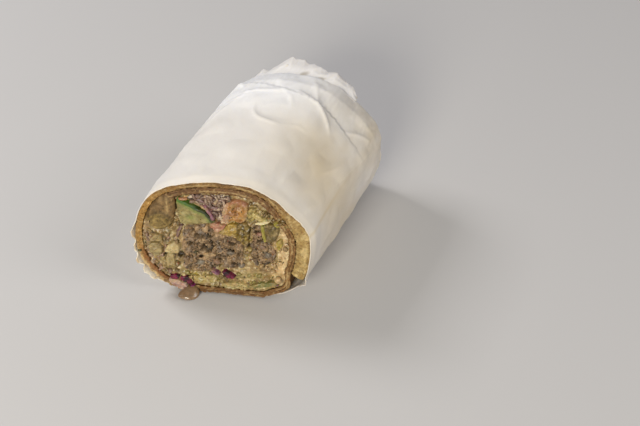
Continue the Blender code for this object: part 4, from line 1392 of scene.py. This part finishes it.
def slab(name, outline, length, proud, tint_of, material, rough, crown, sauced):
    """A cut piece of vegetable: an uneven outline, a bumpy front with a film of sauce, and a body behind."""
    curve = curve_through(outline, 6)
    count = len(curve)
    centre_u = sum(p[0] for p in curve) / count
    centre_v = sum(p[1] for p in curve) / count
    points, tints = [], []
    for back in (length, length * 0.5, SLAB_NECK):
        points += [place(u, v, back) for u, v in curve]
        tints += [tint_of(u, v, 0.0) for u, v in curve]
    for share, drop in SLAB_RINGS:
        for u, v in curve:
            ragged = 0.075 * noise_at(u, v, 0.9, 5.0 + proud)
            pu = centre_u + (u - centre_u) * share * (1 + ragged)
            pv = centre_v + (v - centre_v) * share * (1 + ragged)
            bumpy = rough * (noise_at(pu, pv, 0.5, 3.0 + proud, 4) + 0.6 * abs(noise_at(pu, pv, 1.0, 8.0)))
            depth = -proud + drop * min(1.0, proud + 0.6) - crown * (1 - share ** 2) + bumpy
            points.append(place(pu, pv, depth))
            film = smooth(noise_at(pu, pv, 0.4, 60.0, 4) * 2.0 + 0.1 - 0.5 * (1 - share))
            tints.append(painted(tint_of(pu, pv, 1 - share), (SAUCE_FILM, sauced * film)))
    points.append(place(centre_u, centre_v, -proud - crown))
    tints.append(tint_of(centre_u, centre_v, 1.0))
    faces = closing_faces(len(SLAB_RINGS) + 3, count)
    faces.append(tuple(range(count)))
    piece = add_mesh(name, points, faces, material, tints)
    face_outward(piece)
    return piece


def wandering_tint(base, other, scale):
    """A tint that wanders between two screen colours."""
    def tint(u, v, inward):
        return mix(rgb(*base), rgb(*other), 0.5 + 1.0 * noise_at(u, v, scale, 11.0, 4))
    return tint


CUCUMBER_SKIN = [(-20.1, 47.8), (-17.1, 46.4), (-11.7, 43.9), (-7.7, 41.9), (-5.2, 38.3)]


def cucumber_tint(u, v, inward):
    """Dark green skin along the upper right edge, paler flesh below it, a greener seed."""
    away = min(edge_distance((u, v), [a, b]) for a, b in zip(CUCUMBER_SKIN, CUCUMBER_SKIN[1:]))
    seed = math.exp(-((u + 13.9) / 1.9) ** 2 - ((v - 39.6) / 1.2) ** 2)
    flesh = painted(
        mix(rgb(116, 104, 54), rgb(154, 140, 88), 0.5 + 1.0 * noise_at(u, v, 0.35, 2.0)),
        ((104, 122, 42), 0.6 * seed),
        ((112, 126, 54), smooth((2.4 - away) / 1.4) * 0.7))
    skin = mix(rgb(56, 96, 14), rgb(34, 46, 8), smooth((u + 17) / 8))
    return mix(flesh, skin, smooth((0.85 - away) / 0.45))


def tomato_tint(u, v, inward):
    """Orange flesh under a film of sauce, pinkish and paler on the left and at the rim."""
    left = smooth((3.0 - u + 1.5 * noise_at(u, v, 0.4, 15.0)) / 1.6)
    return painted(
        mix(rgb(128, 80, 26), rgb(170, 124, 62), 0.5 + 1.2 * noise_at(u, v, 0.35, 5.0, 4)),
        ((164, 128, 104), 0.85 * left),
        ((196, 164, 128), (0.25 + 0.6 * left) * smooth((0.2 - inward) / 0.1)),
        ((150, 96, 70), 0.7 * smooth((v - 46.6) / 1.6)))


def cabbage_tint(u, v, inward):
    return mix(rgb(34, 0, 10), rgb(112, 0, 50), 0.4 + 1.4 * noise_at(u, v, 0.6, 4.0))


MOIST, WAXY, CRISP = "moist_vegetable", "pickled_skin", "cabbage_leaf"
# Every larger piece on the cut: name, slot, node that it stands for, finish, length, how far it stands proud,
# its tint or the two colours it wanders between, roughness, crown, how much sauce films it, outline
CHUNKS = (
    ("cucumber_wedge", "cucumber", "cucumber", MOIST, 17, 0.9, cucumber_tint, 0.35, 0.1, 0.1,
     [(-20.0, 47.9), (-17.1, 46.8), (-11.8, 44.3), (-7.7, 42.3), (-5.1, 38.9), (-5.1, 37.5), (-9.3, 36.7),
      (-14.1, 35.9), (-17.9, 36.0), (-18.7, 37.8), (-19.3, 41), (-20.2, 44.8)]),
    ("tomato_chunk", "tomato", "tomato_1", MOIST, 13, 1.1, tomato_tint, 1.0, 0.05, 0.55,
     [(-0.6, 46), (1.6, 48.6), (5.4, 49.6), (8.8, 47.6), (9.7, 44), (8.8, 40.2), (6.5, 38.9), (3.6, 39.9),
      (1.0, 38.0), (-1.4, 38.4), (-1.3, 42.0)]),
    ("tomato_bit", "tomato", "tomato_2", MOIST, 9, 0.8, ((150, 92, 70), (178, 136, 108), 0.6),
     0.5, 0.1, 0.55,
     [(-6.0, 37.0), (-5.4, 35.0), (-3.0, 33.2), (-0.4, 34.6), (0.2, 36.6), (-2.6, 37.4)]),
    ("pickle_seeds", "pickle", "pickle_1", MOIST, 10, 0.7, ((128, 102, 24), (168, 140, 68), 0.8),
     0.8, 0.1, 0.55,
     [(-0.6, 34.4), (1.4, 37.3), (4.4, 37.5), (5.4, 34.8), (4.6, 31.6), (1.9, 32.0), (-2.4, 32.4)]),
    ("pickle_wedge", "pickle", "pickle_2", WAXY, 14, 0.5, ((62, 46, 4), (122, 98, 26), 0.7),
     1.0, 0.1, 0.55,
     [(5.5, 37.6), (8.2, 38.4), (10.4, 36.4), (10.3, 32.5), (10.0, 28.6), (9.0, 27.4), (7.0, 29.4),
      (4.6, 31.2), (5.2, 35)]),
    ("pickle_slice", "pickle", "pickle_3", WAXY, 16, 0.4, ((82, 66, 26), (112, 94, 48), 0.5),
     0.6, 0.05, 0.55,
     [(15.8, 37.9), (19.6, 39.0), (22.0, 38.6), (22.5, 35.5), (21.5, 31.6), (19.6, 29.9), (17.3, 30.6),
      (16.3, 34.5)]),
    ("pickle_rim", "pickle", None, WAXY, 5, 0.7, ((112, 108, 26), (160, 146, 62), 0.7), 0.3, 0.1, 0.55,
     [(15.1, 38.3), (16.3, 38.4), (16.9, 34.5), (17.6, 30.9), (16.9, 30.4), (15.8, 33.8)]),
    ("pickle_corner", "pickle", None, MOIST, 4, 0.9, ((118, 108, 18), (160, 144, 62), 0.9), 0.9, 0.0, 0.55,
     [(20.2, 39.3), (21.2, 40.9), (23.0, 40.2), (22.9, 38.6), (21.6, 38.0)]),
    ("pickle_right", "pickle", "pickle_4", MOIST, 8, 0.7, ((138, 118, 30), (176, 154, 78), 0.9),
     0.5, 0.1, 0.55,
     [(22.0, 30.9), (23.6, 31.6), (24.2, 28.6), (22.9, 26.7), (21.9, 28.8)]),
    ("lettuce_curl", "lettuce", "lettuce_1", MOIST, 19, 1.1, ((96, 82, 34), (170, 150, 86), 0.8),
     1.1, 0.0, 0.4,
     [(9.4, 41.0), (9.2, 44.2), (10.6, 46.2), (12.4, 46.0), (12.6, 43.4), (12.2, 40.6), (10.8, 39.7)]),
    ("lettuce_rib", "lettuce", "lettuce_2", MOIST, 15, 1.2, ((160, 142, 78), (200, 184, 128), 0.8),
     0.4, 0.0, 0.55,
     [(11.8, 44.6), (13.6, 43.6), (17.2, 40.8), (16.4, 40.4), (13.6, 41.4), (11.9, 43.0)]),
    ("lettuce_tip", "lettuce", None, MOIST, 6, 1.1, ((188, 172, 118), (214, 200, 160), 0.8),
     0.2, 0.0, 0.55,
     [(12.8, 39.2), (14.2, 40.2), (18.6, 40.9), (18.2, 40.0), (15.0, 39.0)]),
    ("lettuce_low", "lettuce", "lettuce_3", MOIST, 22, 0.7, ((140, 124, 66), (180, 160, 104), 0.6),
     1.0, 0.0, 0.85,
     [(-12.2, 8.9), (-6, 9.9), (-2.6, 8.7), (-5.0, 6.4), (-11.5, 6.0)]),
    ("lettuce_pale", "lettuce", "lettuce_4", MOIST, 24, 0.4, ((134, 122, 68), (186, 164, 112), 0.7),
     1.0, 0.0, 0.95,
     [(-1.2, 6.0), (4, 7.4), (9.6, 6.8), (11.8, 5.4), (6.4, 4.2), (0.4, 4.4)]),
    ("lettuce_strip", "lettuce", "lettuce_5", MOIST, 18, 0.7, ((88, 92, 34), (132, 120, 66), 0.5),
     0.4, 0.0, 0.55,
     [(11.8, 6.7), (16.2, 8.6), (21.3, 9.6), (23.4, 9.0), (21.1, 7.9), (16.6, 6.6), (12.4, 5.9)]),
    ("cabbage_left", "red_cabbage", "red_cabbage_1", CRISP, 9, 0.6, cabbage_tint, 0.2, 0.0, 0.0,
     [(-23.0, 8.1), (-22.8, 8.4), (-21.0, 8.8), (-19.2, 8.1), (-19.2, 7.8), (-19.7, 6.8), (-22.2, 6.5)]),
    ("cabbage_mid", "red_cabbage", "red_cabbage_2", CRISP, 11, 0.9, cabbage_tint, 0.2, 0.0, 0.0,
     [(-18.5, 8.1), (-18.2, 8.4), (-16.2, 8.5), (-14.2, 7.4), (-13.1, 5.2), (-13.2, 3.8), (-13.5, 3.6),
      (-14.6, 4.6), (-15.6, 5.6), (-18.0, 5.9), (-18.3, 6.2)]),
    ("cabbage_tail", "red_cabbage", None, CRISP, 3, 1.0, ((110, 10, 84), (140, 30, 116), 0.9),
     0.2, 0.0, 0.1,
     [(-14.0, 4.2), (-13.0, 4.0), (-12.6, 2.6), (-11.6, 1.3), (-12.1, 1.0), (-13.3, 2.2)]),
    ("cabbage_right", "red_cabbage", "red_cabbage_3", CRISP, 10, 0.9, cabbage_tint, 0.2, 0.0, 0.0,
     [(-0.5, 12.9), (0.3, 13.4), (0.7, 13.4), (2.8, 12.0), (4.9, 10.7), (4.9, 10.4), (4.2, 9.8),
      (1.9, 10.2), (0.3, 11.2)]),
    ("cabbage_thread", "red_cabbage", None, MOIST, 4, 0.9, ((92, 30, 70), (130, 84, 96), 0.9),
     0.3, 0.0, 0.55,
     [(-5.4, 13.0), (-4.6, 13.6), (-2.0, 11.8), (-2.2, 11.2), (-4.4, 12.0)]),
    ("onion_strip", "red_cabbage", "red_onion", MOIST, 12, 0.7, ((90, 52, 66), (138, 112, 88), 0.8),
     0.5, 0.0, 0.95,
     [(-20.7, 27.2), (-19.7, 28.3), (-18.6, 32.0), (-17.6, 34.6), (-18.6, 34.6), (-20.1, 31.6)]),
    ("onion_thread", "red_cabbage", None, MOIST, 5, 1.0, ((112, 62, 84), (150, 108, 112), 0.8),
     0.3, 0.0, 0.55,
     [(-8.8, 45.6), (-8.0, 45.8), (-5.2, 41.6), (-4.2, 38.9), (-5.0, 38.8), (-6.2, 41.2)]),
    ("onion_pink", "red_cabbage", None, MOIST, 8, 0.7, ((156, 118, 108), (186, 156, 140), 0.7),
     0.5, 0.1, 0.55,
     [(-23.6, 6.2), (-19.8, 6.1), (-16.4, 4.4), (-15.4, 2.4), (-17.4, 1.5), (-21.2, 3.0)]),
    ("dice_cube_1", "dice", "dice_1", MOIST, 8, 0.7, ((127, 108, 66), (157, 138, 92), 0.6), 0.5, 0.1, 0.55,
     [(-31.9, 23.8), (-28.6, 24.6), (-26.7, 22.4), (-26.9, 18.8), (-29.5, 17.6), (-31.7, 19.4)]),
    ("dice_cube_2", "dice", "dice_2", MOIST, 7, 1.2, ((166, 144, 96), (198, 180, 134), 0.6),
     0.5, 0.1, 0.55,
     [(-25.0, 21.3), (-22.6, 25.4), (-19.6, 24.2), (-19.4, 20.5), (-22.4, 20.8)]),
    ("dice_cube_3", "dice", "dice_3", MOIST, 7, 0.7, ((140, 120, 76), (171, 152, 106), 0.6),
     0.5, 0.1, 0.55,
     [(-24.3, 19.6), (-21.6, 19.9), (-21.3, 16.6), (-21.4, 13.9), (-23.9, 14.4)]),
    ("dice_cube_4", "dice", "dice_4", MOIST, 6, 0.6, ((119, 100, 60), (149, 129, 83), 0.6), 0.5, 0.1, 0.55,
     [(-29.9, 28.6), (-27.2, 28.9), (-26.6, 26.0), (-29.4, 25.5)]),
)


def make_chunks(finishes):
    """Every larger piece of vegetable on the cut."""
    for name, slot, node, finish, length, proud, tint, rough, crown, sauced, outline in CHUNKS:
        tint_of = tint if callable(tint) else wandering_tint(*tint)
        piece = slab(name, outline, length, proud, tint_of, finishes[finish], rough, crown, sauced)
        settle(piece, slot, *([node] if node else []))


# Small pieces of chopped salad: outline of the zone, how many, sizes, tones and weights
SALAD_ZONES = (
    ([(-34, 30), (-21, 29), (-19, 20), (-18, 12), (-24, 9), (-30, 7), (-35, 18)], 60, (0.5, 1.3),
     (((146, 122, 80), 3), ((120, 98, 58), 2), ((166, 142, 98), 2), ((146, 118, 96), 3))),
    ([(-18, 11), (10, 11.5), (24, 14), (25, 8), (14, 4.6), (-12, 4.3), (-22, 5.5)], 80, (0.45, 1.2),
     (((160, 138, 88), 3), ((146, 132, 74), 2), ((182, 162, 116), 2), ((122, 100, 60), 2))),
    ([(8, 27), (12, 17), (21, 14), (26, 22), (26, 33), (23, 28), (21, 18), (12, 19)], 20, (0.5, 1.5),
     (((178, 150, 106), 3), ((196, 166, 122), 3), ((150, 122, 80), 1))),
    ([(10, 48), (24, 41), (26, 36), (23, 38), (16, 39), (10, 41)], 34, (0.4, 1.1),
     (((134, 112, 62), 3), ((160, 138, 90), 1), ((108, 84, 38), 3))),
    ([(-24, 46), (-21, 48), (-20, 36), (-21, 30), (-24, 31)], 12, (0.5, 1.1),
     (((146, 120, 76), 3), ((162, 138, 98), 2))),
    ([(-4, 38), (0, 31), (10, 27), (11, 31), (5, 39)], 22, (0.4, 1.1),
     (((150, 128, 56), 3), ((108, 88, 32), 2), ((176, 154, 90), 2))),
    ([(-24, 6), (-16, 4.6), (-14, 3.6), (-19, 2.6), (-24, 4.4)], 14, (0.5, 1.0),
     (((156, 120, 106), 3), ((176, 146, 130), 3))),
)
# Single pieces that stand out: place, radii, colour, roughness, seed
LOOSE_BITS = (
    ((23.4, 11.0, -0.3), (1.7, 1.4, 1.6), (196, 166, 118), 0.2, 3.0),
    ((23.2, 8.4, -0.2), (0.6, 0.5, 0.4), (110, 50, 80), 0.2, 4.0),
    ((-3.6, 48.8, -0.8), (1.5, 0.9, 0.9), (182, 154, 120), 0.4, 5.0),
)
# Single pieces that lie along the cut
FLAT_BITS = (
    ((-17.6, 48.0, -0.2), (2.0, 0.8, 0.7), (172, 124, 84), 0.4, 6.0),
    ((-36.4, 19.4, 0.2), (0.9, 0.4, 0.6), (74, 74, 40), 0.5, 7.0),
)


def make_salad(rng, material):
    """Small diced salad set into the sauce."""
    lumps = Lumps(2)
    for zone, count, (small, large), tones in SALAD_ZONES:
        for u, v in scattered(zone, count, small * 1.5, rng):
            if in_hollow(u, v) > 0.15:
                continue
            size = rng.uniform(small, large)
            radii = rough_radii(size, rng, (0.8, 1.5), (0.6, 1.0), (0.6, 1.1))
            centre = place(u, v, sauce_depth(u, v) - rng.uniform(-0.4, 0.3) * size)
            lumps.add(centre, radii, random_turn(rng), pick(tones, rng), 0.6, rng.uniform(0, 50), 1.3)
    for at, radii, tone, rough, seed in LOOSE_BITS:
        lumps.add(place(*at), radii, random_turn(rng), rgb(*tone), rough, seed)
    for at, radii, tone, rough, seed in FLAT_BITS:
        lumps.add(place(*at), radii, ALONG_CUT, rgb(*tone), rough, seed)
    settle(lumps.piece("chopped_salad", material), "sauce")


# Flakes of herb and pepper, and now and then one of paprika; linear colours
HERB = (0.03, 0.045, 0.008)
PEPPER = (0.045, 0.02, 0.01)
PAPRIKA = (0.35, 0.09, 0.03)
SPECKLED = ("sauce_and_salad", "meat_middle", "meat_right", "pulled_meat", "cucumber_wedge", "tomato_chunk",
            "bread_lobe", "chopped_salad", "lettuce_low", "lettuce_pale")


def speck_spots(rng):
    """Where the specks lie on the cut: close together on the meat, then all over the filling."""
    spots = scattered(curve_through(MEAT_CORE, 3), 80, 0.7, rng)
    spots += scattered(curve_through(MEAT_SIDE, 3), 26, 0.7, rng)
    for _ in range(240):
        degrees, share = rng.uniform(0, 360), math.sqrt(rng.uniform(0, 0.97))
        spots.append(towards(FILLING_CENTRE, filling_edge(degrees), share))
    return spots


def make_specks(rng, material):
    """Herbs and pepper on the cut, each laid where the surface is."""
    targets = [o for o in bpy.context.scene.objects if o.name in SPECKLED]
    trees = [BVHTree.FromObject(t, bpy.context.evaluated_depsgraph_get()) for t in targets]
    specks = Lumps(1)
    for i, (u, v) in enumerate(speck_spots(rng)):
        start = place(u, v, -8)
        hits = [tree.ray_cast(start, Vector((0, 1, 0)), 0.02) for tree in trees]
        hits = [h for h in hits if h[0] is not None]
        if not hits:
            continue
        spot = min(hits, key=lambda h: h[3])[0]
        size = rng.uniform(0.14, 0.34)
        tone = HERB if rng.random() < 0.55 else PEPPER
        if rng.random() < 0.12:
            tone = PAPRIKA
        radii = (size * rng.uniform(0.8, 1.9), size * 0.5, size)
        specks.add(spot, radii, random_turn(rng), tone, 0.2, i * 0.7)
    settle(specks.piece("herbs_and_pepper", material), "sauce")


# The run of sauce: depth, half width and half height of the rounded lumps it is made of
DRIP_PARTS = ((-0.6, 3.4, 2.3), (-1.6, 4.1, 2.1), (-2.6, 4.6, 1.8), (-3.8, 4.6, 1.5))
DRIP_U = -13.3
DRIP_HALF_DEPTH = 2.4
DRIP_COLOUR = (134, 108, 80)


def make_drip():
    """Sauce that ran out over the rim, glossy and rounded, lying on the surface."""
    colour = rgb(*DRIP_COLOUR)
    lumps = Lumps(4)
    for depth, width, height in DRIP_PARTS:
        radii = (width, DRIP_HALF_DEPTH, height)
        lumps.add(place(DRIP_U, 0.7 * height, depth), radii, ALONG_CUT, colour, 0.12, 3.0, 0.8)
    drip = lumps.piece("sauce_run", food_material("glossy_sauce", colour))
    remesh = drip.modifiers.new("Remesh", "REMESH")
    remesh.mode = "VOXEL"
    remesh.voxel_size = 0.22 * MM
    remesh.use_smooth_shade = True
    relax = drip.modifiers.new("Smooth", "SMOOTH")
    relax.factor = 0.6
    relax.iterations = 60
    mesh = bpy.data.meshes.new_from_object(drip.evaluated_get(bpy.context.evaluated_depsgraph_get()))
    drip.modifiers.clear()
    drip.data = mesh
    for vertex in mesh.vertices:
        vertex.co.z = max(vertex.co.z, 0.03 * MM)
    settle(drip, "sauce", "sauce_drip")


# Floor, light, camera

FLOOR_SIZE = 6.0
FLOOR_COLOUR = (0.56, 0.545, 0.54)
# Lights: name, place as the camera sees the wrap, power, size, colour
LIGHTS = (
    ("key", (-0.8, 0.5, 0.75), 7.6, 0.35, (1.0, 0.99, 0.99)),
    ("fill", (-0.35, -1.0, 0.5), 10.3, 0.4, (1.0, 0.955, 0.83)),
    ("side", (1.0, -0.3, 0.9), 5.6, 0.7, (1.0, 0.97, 0.94)),
)
LIGHT_AIM = Vector((0, 0, 0.03))
SKY = (0.9, 0.93, 1.0)
SKY_STRENGTH = 0.2


def make_floor():
    """A plain pale surface under the wrap."""
    bpy.ops.mesh.primitive_plane_add(size=FLOOR_SIZE)
    floor = bpy.context.object
    floor.name = "floor"
    made, _, links, shader, tint = new_material("pale_floor", 0.6, FLOOR_COLOUR)
    links.new(tint, shader.inputs["Base Color"])
    floor.data.materials.append(made)


def add_light(name, where, power, size, colour):
    """A square light that shines at the wrap."""
    data = bpy.data.lights.new(name, "AREA")
    data.energy = power
    data.size = size
    data.color = colour
    made = bpy.data.objects.new(name, data)
    made.location = where
    made.rotation_euler = (LIGHT_AIM - where).to_track_quat("-Z", "Y").to_euler()
    bpy.context.scene.collection.objects.link(made)


def make_light():
    """Three soft lights and a dim, even sky."""
    turn = Matrix.Rotation(math.radians(CAMERA_TURN), 3, "Z")
    for name, where, power, size, colour in LIGHTS:
        add_light(name, turn @ Vector(where), power, size, colour)
    world = bpy.data.worlds.new("studio")
    bpy.context.scene.world = world
    world.use_nodes = True
    background = world.node_tree.nodes["Background"]
    background.inputs["Color"].default_value = (*SKY, 1)
    background.inputs["Strength"].default_value = SKY_STRENGTH


def make_camera():
    """The camera, where the photo was taken from."""
    data = bpy.data.cameras.new("camera")
    data.lens = LENS
    data.sensor_width = 36.0
    data.clip_start = 0.01
    made = bpy.data.objects.new("camera", data)
    made.location = Vector(CAMERA_PLACE) * MM
    made.rotation_euler = (math.radians(90 - CAMERA_DOWN), 0, math.radians(CAMERA_TURN))
    bpy.context.scene.collection.objects.link(made)
    bpy.context.scene.camera = made


def main():
    rng = random.Random(11)
    make_paper()
    make_flatbread()
    make_sauce()
    meat = food_material("chopped_meat")
    make_meat("meat_middle", MEAT_CORE, (-5.0, 22.5), (110, 260), rng, meat, "meat_core")
    make_meat("meat_right", MEAT_SIDE, (14.4, 26.5), (34, 80), rng, meat, "meat_side")
    make_shreds(rng, food_material("pulled_meat_fibres"))
    finishes = {name: food_material(name) for name in (MOIST, WAXY, CRISP)}
    make_chunks(finishes)
    make_salad(rng, finishes[MOIST])
    make_specks(rng, food_material("herb_flakes"))
    make_drip()
    make_floor()
    make_light()
    make_camera()
    bpy.context.scene.view_settings.view_transform = "Standard"


main()
